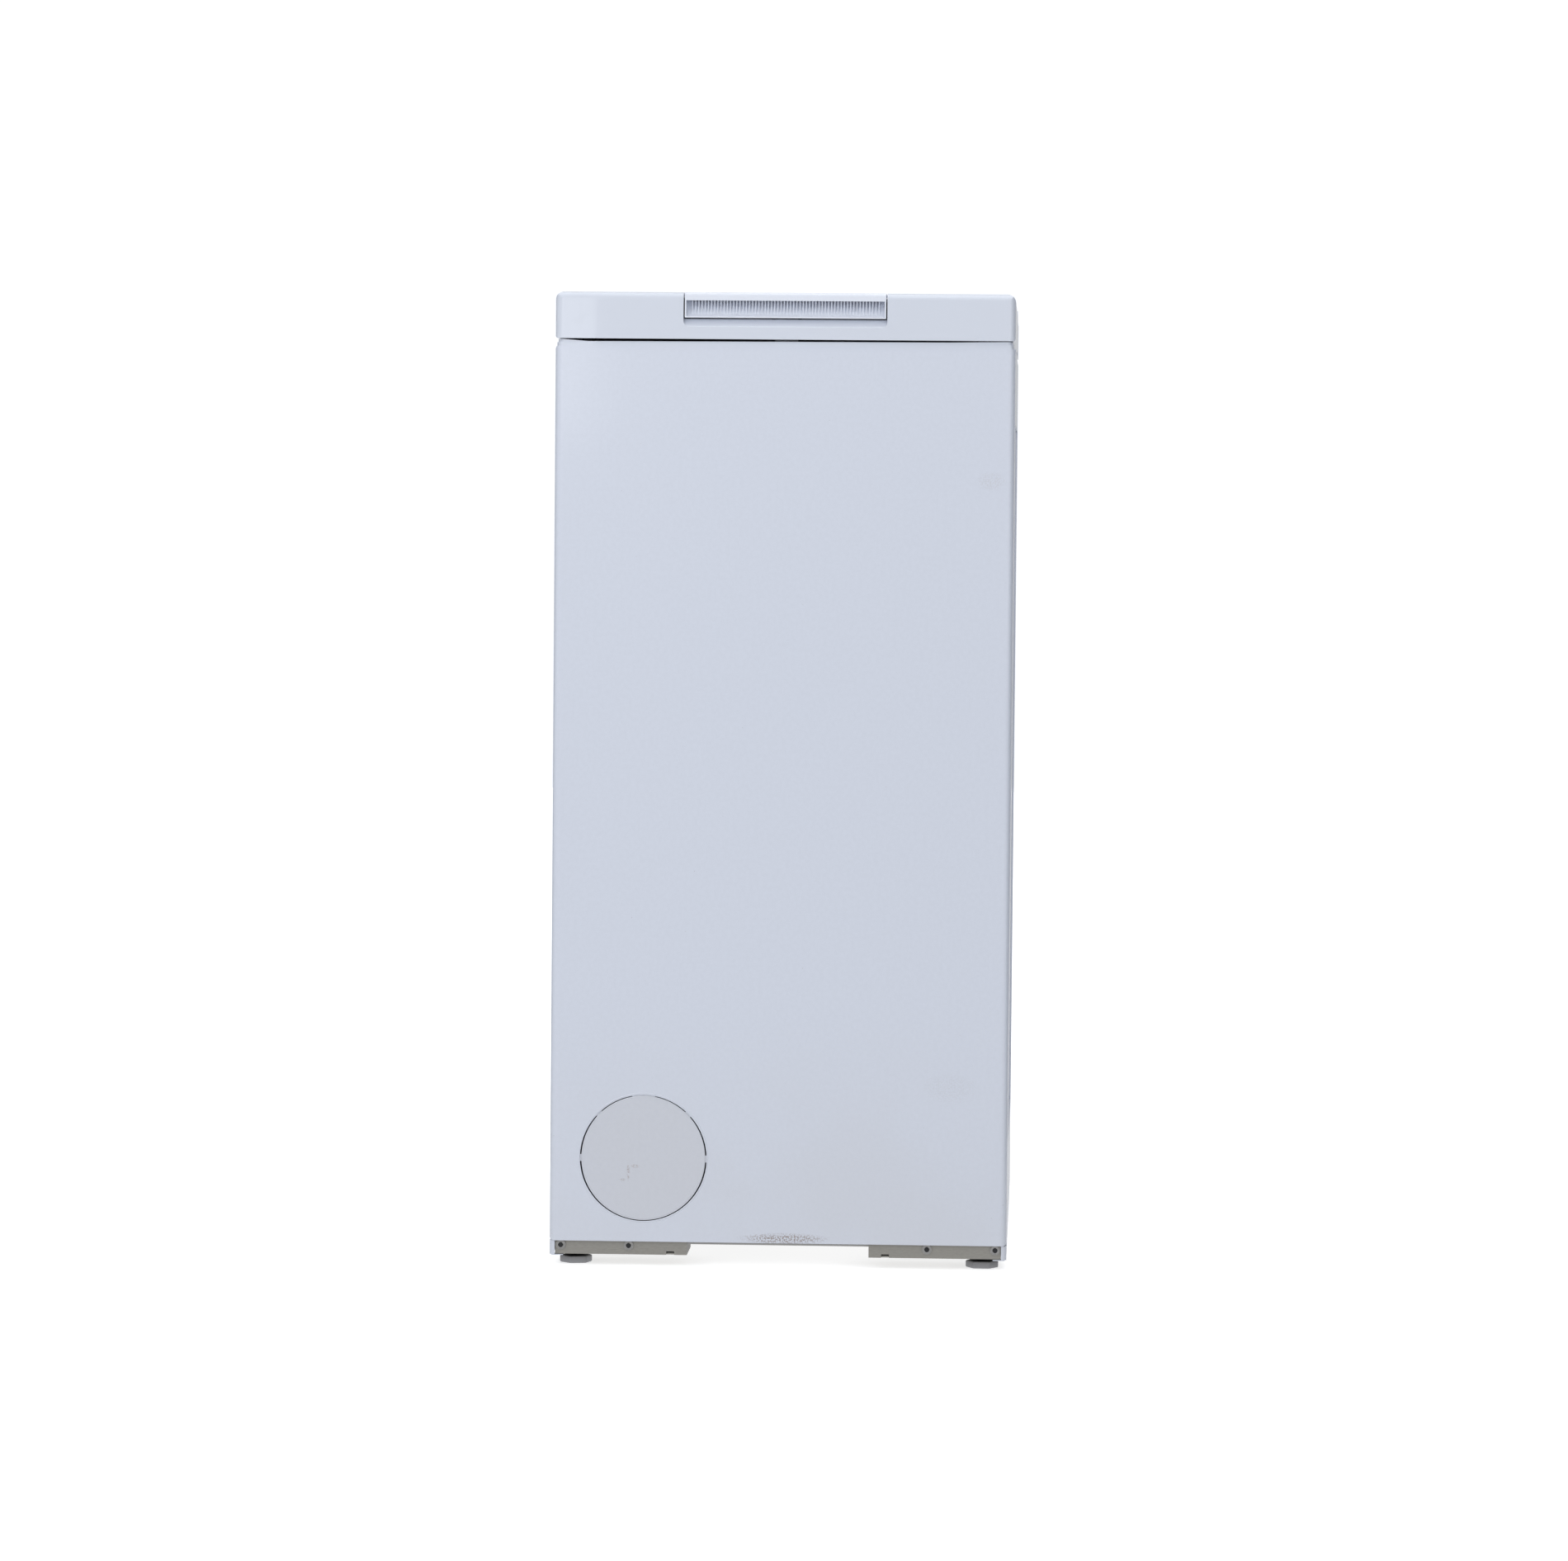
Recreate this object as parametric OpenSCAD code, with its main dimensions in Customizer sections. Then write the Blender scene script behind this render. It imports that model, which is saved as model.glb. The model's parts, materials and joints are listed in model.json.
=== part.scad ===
// Top load washing machine, narrow cabinet with a drum that turns on a level axis.
// X points right, Y points to the back and Z up; the origin is the centre of the footprint.

/* [Cabinet] */
// Outer width of the cabinet
body_w = 400; // [400:1:410]
// Outer depth, front panel to rear flanges
body_d = 600; // [600:1:620]
// Height of the lid top above the floor
body_h = 850; // [850:1:856]
// Thickness of the steel panels
sheet = 1.2; // [0.8:0.1:1.4]
// Height of the front panel's lower edge
panel_bottom = 22; // [21:0.5:24]
// Height of the front panel's upper edge
panel_top = 803; // [802:0.5:804]
// Radius of the cabinet's upright corners
corner_r = 6; // [4:0.5:8]

/* [Lid] */
// Gap between the cabinet rim and the lid's lower edge
rim_gap = 0.7; // [0.5:0.1:1.5]
// Depth of the lid from its front to its hinge end
lid_d = 438; // [436:1:439]
// Wall of the lid's shell
lid_wall = 3; // [2:0.5:3.5]
// Radius of the hinge barrel at the lid's back edge
hinge_r = 12; // [11:0.5:12]
// Width of the handle
handle_w = 174.8; // [150:0.2:190]
// Height of the handle's front
handle_h = 22; // [20:0.5:24]

/* [Wash unit] */
// Inside radius of the tub
tub_r = 247; // [245:1:248]
// Wall of the tub
tub_wall = 4; // [3:0.5:4]
// Outside radius of the drum
drum_r = 230; // [228:1:231]
// Length of the drum
drum_l = 250; // [240:1:252]
// Height of the drum axis above the floor
axis_z = 440; // [438:1:442]
// Half-width of the drum hatch along the axis
hatch_half = 95; // [85:1:96]
// Number of paddles in the drum
paddle_count = 3; // [3:1:3]

/* [Service cap] */
// Outside radius of the round cap over the pump filter
cap_r = 54.2; // [50:0.1:54.4]
// Gap around the cap
cap_gap = 1.3; // [0.8:0.1:1.6]
// Distance of the cap from the cabinet's left side
cap_side = 82; // [80:1:84]
// Height of the cap's centre
cap_z = 95; // [92:1:98]

/* [Feet] */
// Size of a foot across its corners
foot_across = 29.5; // [26:0.5:32]
// Height of a foot's pad
foot_h = 8; // [7:0.5:9]
// Distance of the foot axes from the cabinet's sides
foot_side = 21.5; // [20:0.5:24]

/* [Hidden] */
$fn = 72;
half_w = body_w / 2;
front = -body_d / 2;
back = body_d / 2;
fit = 0.05;           // radial clearance of a pin that turns in a bore
slip = 0.2;           // gap between pieces that are assembled side by side
eps = 0.5;            // how far a cutting shape runs past the solid it cuts
// Cabinet
inner_w = body_w - 2 * sheet - 2 * slip;
panel_wrap = 13;
flange = 12;
side_front = front + panel_wrap + 0.8;
side_bottom = 12;
rear_y = back - 32;
recess_d = 1.5;
base_z = 19.5;
base_t = 2;
base_h = 20;
screw_z = 18;
outer_screw = 10;
inner_screw = 69.5;
base_front = front + 6;
bracket_in = 120.5;
bracket_z = 10;
bracket_t = 1.5;
bracket_face = front + 4.3;
bracket_depth = 58;
foot_x = half_w - foot_side;
foot_front_y = front + 30;
foot_rear_y = rear_y - 33;
stud_r = 4;
// Top frame and console
rim_top = 808.8;
deck_z = 800;
deck_t = 3;
mouth_x = -10;
collar_w = 232;
collar_d = 236;
collar_wall = 3;
collar_bottom = 775;
console_front = front + lid_d + 1.5;
console_top = 846;
console_wall = 3;
fascia_z = 834;
fascia_t = 3;
knob_x = -125;
keys_y = 205;
key_w = 18;
key_d = 12;
key_pitch = 26;
key_x0 = 76;
display_x = -35;
// Lid
lid_bottom = rim_top + rim_gap;
hinge_y = front + lid_d - hinge_r;
hinge_z = body_h - hinge_r;
ear_in = half_w - 14;
lid_body_back = hinge_y - hinge_r - 1;
liner_z = lid_bottom + 2;
liner_t = 3;
notch_w = handle_w + 2.2;
notch_back = front + 38.2;
notch_z = body_h - handle_h - 1;
handle_back = notch_back - 1.2;
handle_pin_y = handle_back - 4;
handle_pin_z = body_h - 4;
tray_z = 772;
tray_x0 = -110;
tray_x1 = 90;
tray_y0 = -100;
tray_y1 = 20;
tray_wall = 2.5;
// Wash unit: the tub runs along X around the drum
drum_x0 = -135;
drum_x1 = drum_x0 + drum_l;
drum_sheet = 1.2;
tub_x0 = drum_x0 - 7;
tub_x1 = drum_x1 + 7;
tub_out = tub_r + tub_wall;
cover_t = 4;
cover_r = tub_out + 6;
neck_w = 240;
neck_d = 270;
neck_top = 720;
hatch_y = 110;
flap_hinge_y = 105;
flap_hinge_z = axis_z + sqrt(drum_r * drum_r - flap_hinge_y * flap_hinge_y);
flap_pin_r = 2.5;
shaft_r = 12.5;
bearing_r = 26;
seal_r = 20;
bearing_w = 15;
seal_pocket = 8;
hub_l = 26;
sump_z = 165;
sump_wall = 3;
sump_x0 = tub_x0 + 4;
sump_x1 = 60;
sump_half = 45;
sump_out = [-118, -20];
motor_y = 90;
motor_z = 110;
motor_r = 48;
pulley_x0 = 159;
pulley_x1 = 175;
pulley_r = 130;
motor_pulley_r = 11;
belt_t = 3;
belt_gap = 0.5;
spring_r = 11;
spring_x = [-130, 110];
spring_y = 170;
spring_bottom = 650;
rail_z = 782;
damper_x = -10;
damper_y = 165;
rod_r = 6;
piston_r = 10.9;
// Pump and connections
cap_x = cap_side - half_w;
cap_hole_r = cap_r + cap_gap;
pump_tube_r = 27;
filter_r = 24;
pump_front = front + 16;
pump_back = -170;
hose_r = 17;
hose_wall = 3;
outlet_x = -80;
outlet_z = 75;
inlet_x = 130;
inlet_z = 120;
inlet_thread_r = 13.2;
gland_x = -150;
gland_z = 120;
gland_bore_r = 3.6;
spout_end = back - 3;
enamel = [0.85, 0.87, 0.91];
plastic_white = [0.84, 0.86, 0.90];
steel = [0.72, 0.73, 0.75];
grey = [0.55, 0.54, 0.53];
black = [0.12, 0.12, 0.13];

// A box from its lowest corner to its highest corner
module box(a, b) {
    translate(a) cube(b - a);
}

// Round bars along each axis
module x_rod(r, x0, x1, y, z) {
    translate([x0, y, z]) rotate([0, 90, 0]) cylinder(r = r, h = x1 - x0);
}
module y_rod(r, y0, y1, x, z) {
    translate([x, y1, z]) rotate([90, 0, 0]) cylinder(r = r, h = y1 - y0);
}
module z_rod(r, z0, z1, x, y) {
    translate([x, y, z0]) cylinder(r = r, h = z1 - z0);
}

// A side outline (Y, Z) carried along X, and a front outline (X, Z) carried along Y
module along_x(x0, x1) {
    translate([x0, 0, 0]) rotate([90, 0, 90]) linear_extrude(x1 - x0) children();
}
module along_y(y0, y1) {
    translate([0, y1, 0]) rotate([90, 0, 0]) linear_extrude(y1 - y0) children();
}
module along_z(z0, z1) {
    translate([0, 0, z0]) linear_extrude(z1 - z0) children();
}

// Outline with all four corners rounded, centred
module rounded(w, d, r) {
    square([w, d - 2 * r], center = true);
    square([w - 2 * r, d], center = true);
    for (x = [-1, 1], y = [-1, 1]) {
        translate([x * (w / 2 - r), y * (d / 2 - r)]) circle(r);
    }
}

// Outline centred on x = 0 with its two low corners rounded
module low_rounded(w, y0, y1, r) {
    translate([-w / 2, y0 + r]) square([w, y1 - y0 - r]);
    translate([-w / 2 + r, y0]) square([w - 2 * r, y1 - y0]);
    for (x = [-1, 1]) translate([x * (w / 2 - r), y0 + r]) circle(r);
}

// Outline centred on x = 0 with its two high corners rounded
module high_rounded(w, y0, y1, r) {
    mirror([0, 1]) low_rounded(w, -y1, -y0, r);
}

// Copies for the left and the right side
module both_sides() {
    children();
    mirror([1, 0, 0]) children();
}
module front_and_back() {
    children();
    mirror([0, 1, 0]) children();
}

// Front panel: a sheet that wraps around both corners, with a round hole for the cap
module front_panel() {
    color(enamel)
    difference() {
        intersection() {
            along_z(panel_bottom, panel_top) difference() {
                low_rounded(body_w, front, front + panel_wrap, corner_r);
                low_rounded(body_w - 2 * sheet, front + sheet, front + panel_wrap + 1, corner_r - sheet);
            }
            along_y(front - 1, front + panel_wrap + 1)
                translate([0, (panel_bottom + panel_top) / 2])
                    rounded(body_w, panel_top - panel_bottom, 3.5);
        }
        y_rod(cap_hole_r, front - 1, front + 6, cap_x, cap_z);
    }
}

// Side panel: sheet with turned-in flanges, a pressed field and a tab in front of the base
module side_panel() {
    field_y = 225;
    field_low = 100;
    field_high = 740;
    difference() {
        union() {
            along_z(side_bottom, panel_top)
                translate([-half_w, side_front]) square([sheet, back - side_front]);
            along_z(side_bottom, deck_z - 3.5) {
                translate([-half_w, side_front]) square([flange, sheet]);
                translate([-half_w, back - sheet]) square([flange + 2, sheet]);
            }
            along_z(side_bottom - 3, panel_bottom - 0.2) intersection() {
                difference() {
                    low_rounded(body_w, front + 2, front + panel_wrap + 2, 4.5);
                    low_rounded(body_w - 2 * sheet, front + 2 + sheet, front + panel_wrap + 3, 3.3);
                }
                translate([-half_w, front]) square([4.8, panel_wrap + 2]);
            }
            box([-half_w + 2, front + 3, side_bottom - 3.2], [-half_w + flange, front + 12, side_bottom - 2.4]);
            box([-half_w + sheet / 2, -field_y, field_low],
                [-half_w + recess_d + sheet, field_y, field_high]);
        }
        box([-half_w - 1, -field_y + sheet, field_low + sheet],
            [-half_w + recess_d, field_y - sheet, field_high - sheet]);
        translate([-half_w - 2, front, side_bottom - 5]) rotate([0, 45, 0]) cube([4, 20, 4]);
    }
}
module left_side_panel() { color(enamel) side_panel(); }
module right_side_panel() { color(enamel) mirror([1, 0, 0]) side_panel(); }

// Rear panel: a tray of sheet set in between the side panels
rear_screw = [124, 236, 604];
module rear_panel() {
    color(steel)
    difference() {
        box([-inner_w / 2, rear_y, base_z + 0.5], [inner_w / 2, rear_y + sheet, 796.5]);
        box([-115, rear_y - 1, 245], [115, rear_y + 3, 595]);
        y_rod(inlet_thread_r + 1.3, rear_y - 1, rear_y + 3, inlet_x, inlet_z);
        y_rod(13, rear_y - 1, rear_y + 3, outlet_x, outlet_z);
        y_rod(9.1, rear_y - 1, rear_y + 3, gland_x, gland_z);
        for (x = [-1, 1], z = [rear_screw[1], rear_screw[2]]) {
            y_rod(1.9, rear_y - 1, rear_y + 3, x * rear_screw[0], z);
        }
        for (i = [-4:4]) box([i * 22 - 3, rear_y - 1, 690], [i * 22 + 3, rear_y + 3, 740]);
    }
}

module rear_access_cover() {
    color(steel)
    difference() {
        box([-130, rear_y + sheet, 230], [130, rear_y + 2 * sheet, 610]);
        for (x = [-1, 1], z = [rear_screw[1], rear_screw[2]]) {
            y_rod(1.9, rear_y, rear_y + 3, x * rear_screw[0], z);
        }
        for (i = [-4:4]) box([i * 22 - 3, rear_y, 300], [i * 22 + 3, rear_y + 3, 345]);
    }
}

// Base: a shallow pan that carries the cabinet, with bosses for the feet
module base_outline(inset) {
    translate([-half_w + flange + 1 + inset, base_front + inset])
        square([body_w - 2 * flange - 2 - 2 * inset, 40]);
    translate([-inner_w / 2 + inset, side_front + sheet + slip + inset])
        square([inner_w - 2 * inset, rear_y - slip - side_front - sheet - slip - 2 * inset]);
}
module base_frame() {
    color(grey)
    difference() {
        union() {
            along_z(base_z, base_z + base_h) difference() {
                base_outline(0);
                base_outline(base_t);
            }
            along_z(base_z, base_z + base_t) base_outline(0);
            for (x = [-1, 1]) {
                z_rod(14, bracket_z, base_z + 14, x * foot_x, foot_rear_y);
                z_rod(10, base_z, base_z + 14, x * foot_x, foot_front_y);
            }
            for (y = [-90, 20, 205]) box([-inner_w / 2, y, base_z], [inner_w / 2, y + 3, base_z + 8]);
        }
        for (x = [-1, 1], y = [foot_front_y, foot_rear_y]) {
            z_rod(stud_r + fit, bracket_z - 1, base_z + 15, x * foot_x, y);
        }
    }
}

// Foot bracket under a front corner of the base, with a sloped inner end
module foot_bracket() {
    x0 = -half_w + 5;
    x1 = -half_w + bracket_in;
    y1 = bracket_face + bracket_depth;
    color([0.60, 0.58, 0.56])
    difference() {
        union() {
            box([x0, bracket_face, bracket_z], [x1, bracket_face + bracket_t, panel_bottom - 0.5]);
            box([x0, bracket_face, bracket_z], [x1, y1, bracket_z + bracket_t]);
            box([x1 - bracket_t, bracket_face, bracket_z], [x1, y1, base_z - slip]);
            box([x0, y1 - bracket_t, bracket_z], [x1, y1, base_z - slip]);
            z_rod(10, bracket_z, base_z - slip, -foot_x, foot_front_y);
        }
        translate([x1, bracket_face - 1, bracket_z]) rotate([0, 45, 0])
            cube([8, bracket_depth + 5, 8], center = false);
        box([x1 - 18, bracket_face - 1, bracket_z - 1], [x1 - 11, bracket_face + 3, bracket_z + 3]);
        z_rod(stud_r + fit, bracket_z - 1, base_z + 1, -foot_x, foot_front_y);
        for (x = [outer_screw, inner_screw]) y_rod(1.9, front, front + 8, -half_w + x, screw_z);
    }
}
module left_foot_bracket() { foot_bracket(); }
module right_foot_bracket() { mirror([1, 0, 0]) foot_bracket(); }

// Pan-head screws: two in each foot bracket and four in the rear cover
module screw(r, head, shank) {
    difference() {
        union() {
            y_rod(r, 0, head, 0, 0);
            y_rod(1.8, 0, shank, 0, 0);
        }
        for (a = [0, 90]) rotate([0, a, 0]) box([-2.4, -1, -0.5], [2.4, head * 0.55, 0.5]);
    }
}
module case_screws() {
    color(steel) {
        for (x = [-1, 1]) {
            translate([x * (half_w - outer_screw), bracket_face - 1.7, screw_z]) screw(4.3, 1.7, 3.3);
            translate([x * (half_w - inner_screw), bracket_face - 1.7, screw_z]) screw(4.3, 1.7, 3.3);
            for (z = [rear_screw[1], rear_screw[2]]) {
                translate([x * rear_screw[0], rear_y + 2 * sheet + 2, z])
                    mirror([0, 1, 0]) screw(4.5, 2, 10);
            }
        }
    }
}

// Top frame: the plastic surround under the lid, with the loading mouth's collar
module collar_outline(grow) {
    translate([mouth_x, 0]) rounded(collar_w + 2 * grow, collar_d + 2 * grow, 25 + grow);
}
module top_frame() {
    rim_w = 3;
    color(plastic_white)
    difference() {
        union() {
            along_z(deck_z - 3, rim_top - 2.8) difference() {
                low_rounded(inner_w, front + sheet + slip, back - 1.5, corner_r - sheet);
                low_rounded(inner_w - 2 * rim_w, front + sheet + slip + rim_w,
                            back - 1.5 - rim_w, corner_r - sheet - 1);
            }
            along_z(rim_top - 2.8, rim_top) difference() {
                low_rounded(inner_w - 2, front + sheet + slip + 1, back - 2.5, corner_r - sheet);
                low_rounded(inner_w - 2 * rim_w, front + sheet + slip + rim_w,
                            back - 1.5 - rim_w, corner_r - sheet - 1);
            }
            along_z(deck_z, deck_z + deck_t)
                low_rounded(inner_w - 1, front + sheet + slip + 0.5, back - 2, corner_r - sheet);
            along_z(collar_bottom, rim_top - 1) collar_outline(collar_wall);
            along_z(collar_bottom, collar_bottom + 3)
                translate([mouth_x, 0]) rounded(270, 284, 30);
        }
        along_z(collar_bottom - 1, rim_top + 1) collar_outline(0);
        box([-14, front + 15.5, deck_z - 1], [14, front + 41, rim_top]);
        // The rim dips along its front edge, most on the left
        along_y(front, front + 12)
            polygon([[-194, rim_top + 1], [-194, rim_top], [-172, rim_top - 1.7],
                     [140, rim_top - 0.8], [190, rim_top], [190, rim_top + 1]]);
    }
}

// Cross rails between the side panels; the tub's springs hang from them
module cross_rails() {
    color(steel) front_and_back()
    difference() {
        box([-inner_w / 2, spring_y - 12, rail_z], [inner_w / 2, spring_y + 12, deck_z - 3.2]);
        box([-inner_w / 2 - 1, spring_y - 10.5, rail_z + 1.5],
            [inner_w / 2 + 1, spring_y + 10.5, deck_z]);
    }
}

// Console: the housing behind the lid, with a sunk fascia and an ear at each side for the hinge
module console_shell(inset) {
    intersection() {
        along_z(lid_bottom - eps, console_top - inset)
            high_rounded(body_w - 2 * inset, console_front + inset, back - inset, corner_r - inset);
        along_y(console_front - 1, back + 1)
            high_rounded(body_w - 2 * inset, lid_bottom - 5, console_top - inset, 6 - inset / 2);
    }
}
module hinge_ear() {
    difference() {
        along_x(ear_in, half_w) {
            translate([hinge_y, hinge_z]) circle(hinge_r);
            translate([hinge_y - hinge_r, lid_bottom])
                square([console_front + 2 - hinge_y + hinge_r, hinge_z - lid_bottom]);
            translate([hinge_y, lid_bottom])
                square([console_front + 2 - hinge_y, console_top - 4 - lid_bottom]);
        }
        x_rod(4 + fit, ear_in - 1, half_w - 2, hinge_y, hinge_z);
    }
}
function key_x(i) = key_x0 + i * key_pitch;
module console() {
    basin = [half_w - 16, console_front + 10.5, back - 12];
    color(plastic_white)
    difference() {
        union() {
            difference() {
                console_shell(0);
                console_shell(console_wall);
            }
            box([-basin[0] - 3, basin[1] - 3, fascia_z - fascia_t],
                [basin[0] + 3, basin[2] + 3, console_top - 1]);
            both_sides() hinge_ear();
        }
        box([-half_w - 1, hinge_y - 20, lid_bottom - 2], [half_w + 1, back + 1, lid_bottom - 0.2]);
        box([-basin[0], basin[1], fascia_z], [basin[0], basin[2], console_top + 1]);
        z_rod(5 + fit, fascia_z - 4, fascia_z + 1, knob_x, keys_y);
        box([display_x - 45.2, keys_y - 17.2, fascia_z - 4],
            [display_x + 45.2, keys_y + 17.2, fascia_z + 1]);
        for (i = [0:3]) {
            box([key_x(i) - key_w / 2 - 0.4, keys_y - key_d / 2 - 0.4, fascia_z - 4],
                [key_x(i) + key_w / 2 + 0.4, keys_y + key_d / 2 + 0.4, fascia_z + 1]);
        }
    }
}

// Control board with its display, encoder, switches and relays
module control_board() {
    z0 = 815;
    z1 = z0 + 1.6;
    color([0.10, 0.35, 0.20]) {
        box([-170, 160, z0], [180, 275, z1]);
        box([display_x - 42, keys_y - 15, z1], [display_x + 42, keys_y + 15, fascia_z - 5]);
        box([knob_x - 8, keys_y - 8, z1], [knob_x + 8, keys_y + 8, z1 + 7]);
        for (i = [0:3]) box([key_x(i) - 4, keys_y - 4, z1], [key_x(i) + 4, keys_y + 4, z1 + 5]);
        for (x = [-150, -120, 90]) box([x, 240, z1], [x + 20, 255, z1 + 12]);
        for (x = [20, 45]) z_rod(8, z1, z1 + 13, x, 255);
        for (x = [-165, 175], y = [165, 270]) z_rod(3, deck_z + deck_t, z0, x, y);
    }
}

module display_window() {
    color([0.10, 0.12, 0.14]) {
        box([display_x - 45, keys_y - 17, fascia_z - 3], [display_x + 45, keys_y + 17, fascia_z + 0.2]);
        box([display_x - 48, keys_y - 20, fascia_z - 4.5],
            [display_x + 48, keys_y + 20, fascia_z - 3]);
    }
}

// Knob with a grip bar across its top and a shaft through the fascia
module program_knob() {
    color([0.80, 0.81, 0.83]) {
        difference() {
            z_rod(23, fascia_z + 0.5, body_h - 2.5, knob_x, keys_y);
            for (s = [-1, 1]) {
                box([knob_x - 30, keys_y + (s > 0 ? 6 : -30), fascia_z + 6],
                    [knob_x + 30, keys_y + (s > 0 ? 30 : -6), body_h]);
            }
        }
        z_rod(5, fascia_z - 8, fascia_z + 1, knob_x, keys_y);
    }
}

// Push keys in a row; each has a foot under the fascia that keeps it in
module key(i) {
    color([0.78, 0.79, 0.81])
    translate([key_x(i), keys_y, 0]) {
        box([-key_w / 2, -key_d / 2, fascia_z - 5], [key_w / 2, key_d / 2, fascia_z + 4]);
        box([-key_w / 2 - 2, -key_d / 2 - 2, fascia_z - 6.5],
            [key_w / 2 + 2, key_d / 2 + 2, fascia_z - 5]);
        z_rod(3, fascia_z - 10, fascia_z - 6.5, 0, 0);
    }
}
module start_button() { key(3); }
module temperature_button() { key(0); }
module spin_button() { key(1); }
module option_button() { key(2); }

// Lid lock under the front of the top frame, with a slot for the handle's hook
module door_lock() {
    color([0.92, 0.92, 0.90])
    difference() {
        box([-35, front + 8, collar_bottom - 2], [35, front + 55, deck_z]);
        box([-13, front + 15.5, collar_bottom + 8], [13, front + 41, deck_z + 1]);
    }
}

// Lid shell: three outlines meet to round its edges
module lid_form(inset, low) {
    intersection() {
        along_z(low, body_h + 1) {
            low_rounded(body_w - 2 * inset, front + inset, lid_body_back - inset, corner_r - inset / 2);
            translate([-ear_in + 1.5 + inset, front + 60])
                square([2 * (ear_in - 1.5 - inset), lid_d]);
        }
        along_y(front - 1, hinge_y + hinge_r + 1) {
            high_rounded(body_w - 2 * inset, low + 10, body_h - inset, 7.5 - inset / 2);
            low_rounded(body_w - 2 * inset, low, low + 20, 2.5);
        }
        along_x(-half_w - 1, half_w + 1) {
            translate([front + inset + 6, low]) square([lid_body_back - front - 2 * inset - 6,
                                                        body_h - inset - low]);
            translate([front + inset, low]) square([20, body_h - inset - 6 - low]);
            translate([front + inset + 6, body_h - inset - 6]) circle(6);
            translate([hinge_y - hinge_r - 3, hinge_z - hinge_r + inset])
                square([hinge_r + 3, 2 * hinge_r - 2 * inset]);
            translate([hinge_y, hinge_z]) circle(hinge_r - inset);
        }
    }
}
module lid_outer() {
    nx = notch_w / 2;
    color(plastic_white)
    difference() {
        union() {
            difference() {
                lid_form(0, lid_bottom);
                lid_form(lid_wall, lid_bottom - 2);
            }
            // Pocket walls around the handle
            intersection() {
                lid_form(0, lid_bottom);
                union() {
                    box([-nx - 2.5, front, notch_z - 2.5], [nx + 2.5, notch_back + 2.5, body_h]);
                    box([-nx - 2.5, front, notch_z - 9], [nx + 2.5, front + 8, notch_z]);
                }
            }
            // Hinge lugs inside the barrel
            both_sides() x_rod(hinge_r - 1, ear_in - 10, ear_in - 1.5, hinge_y, hinge_z);
        }
        box([-nx, front - 1, notch_z], [nx, notch_back, body_h + 1]);
        // Sloped finger cut under the handle, with rounded lower corners
        intersection() {
            along_x(-nx, nx) polygon([[front - 1, notch_z - 8], [front + 6, notch_z],
                [front + 6, notch_z + 1], [front - 1, notch_z + 1]]);
            union() {
                box([-nx + 5, front - 2, notch_z - 9], [nx - 5, front + 8, notch_z + 2]);
                box([-nx - 1, front - 2, notch_z - 2], [nx + 1, front + 8, notch_z + 2]);
                both_sides() y_rod(5, front - 2, front + 8, nx - 5, notch_z - 1.9);
            }
        }
        box([-14, front + 15.5, notch_z - 4], [14, notch_back, notch_z + 1]);
        x_rod(1.55, -nx - 3, nx + 3, handle_pin_y, handle_pin_z);
        both_sides() x_rod(4, ear_in - 12, ear_in + 1, hinge_y, hinge_z);
    }
}

// Lid liner, a shallow tray that closes the lid from below
module lid_inner() {
    wall = lid_wall + slip;
    color(plastic_white)
    difference() {
        along_z(liner_z, liner_z + 12)
            low_rounded(body_w - 2 * wall, front + wall, lid_body_back - 3, corner_r - 2);
        along_z(liner_z + liner_t, liner_z + 13)
            low_rounded(body_w - 2 * wall - 4, front + wall + 2, lid_body_back - 5, corner_r - 3);
        box([-14, front + 15.5, liner_z - 1], [14, front + 41, liner_z + 4]);
        box([-notch_w / 2 - 4, front, notch_z - 4], [notch_w / 2 + 4, notch_back + 4, body_h]);
        box([-notch_w / 2 - 4, front, notch_z - 10], [notch_w / 2 + 4, front + 9, body_h]);
    }
}

// Detergent tray under the lid: three pockets that are filled when the lid stands open
pockets = [[-107.5, -45], [-42.5, 20], [22.5, 87.5]];
module dispenser_tray() {
    color([0.86, 0.88, 0.90])
    difference() {
        box([tray_x0, tray_y0, tray_z], [tray_x1, tray_y1, liner_z - slip]);
        for (p = pockets) {
            box([p[0], tray_y0 - 1, tray_z + tray_wall],
                [p[1], tray_y1 - tray_wall, liner_z - slip - tray_wall]);
            for (i = [0:4]) {
                box([p[0] + 8 + i * 11, -10, tray_z - 1], [p[0] + 11 + i * 11, 10, tray_z + 3]);
            }
        }
    }
}
module softener_siphon() {
    p = pockets[2];
    color([0.25, 0.45, 0.75]) {
        box([p[0] + 0.3, tray_y0 + 2, tray_z + tray_wall + 0.2],
            [p[1] - 0.3, tray_y0 + 4.5, tray_z + 20]);
        y_rod(5, tray_y0 + 4.5, -40, (p[0] + p[1]) / 2, tray_z + 11);
    }
}

// Rubber stops that the lid comes down on
module lid_buffers() {
    color(black) {
        for (x = [-1, 1], y = [front + 22, 90]) {
            z_rod(6, deck_z + deck_t + 0.3, liner_z, x * 172, y);
        }
    }
}

// Two hinge pins held in the lid's lugs and one long pin for the handle
module lid_pins() {
    color(steel) {
        both_sides() x_rod(4, ear_in - 10, half_w - 3, hinge_y, hinge_z);
        x_rod(1.5, -notch_w / 2 - 2, notch_w / 2 + 2, handle_pin_y, handle_pin_z);
    }
}

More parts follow.
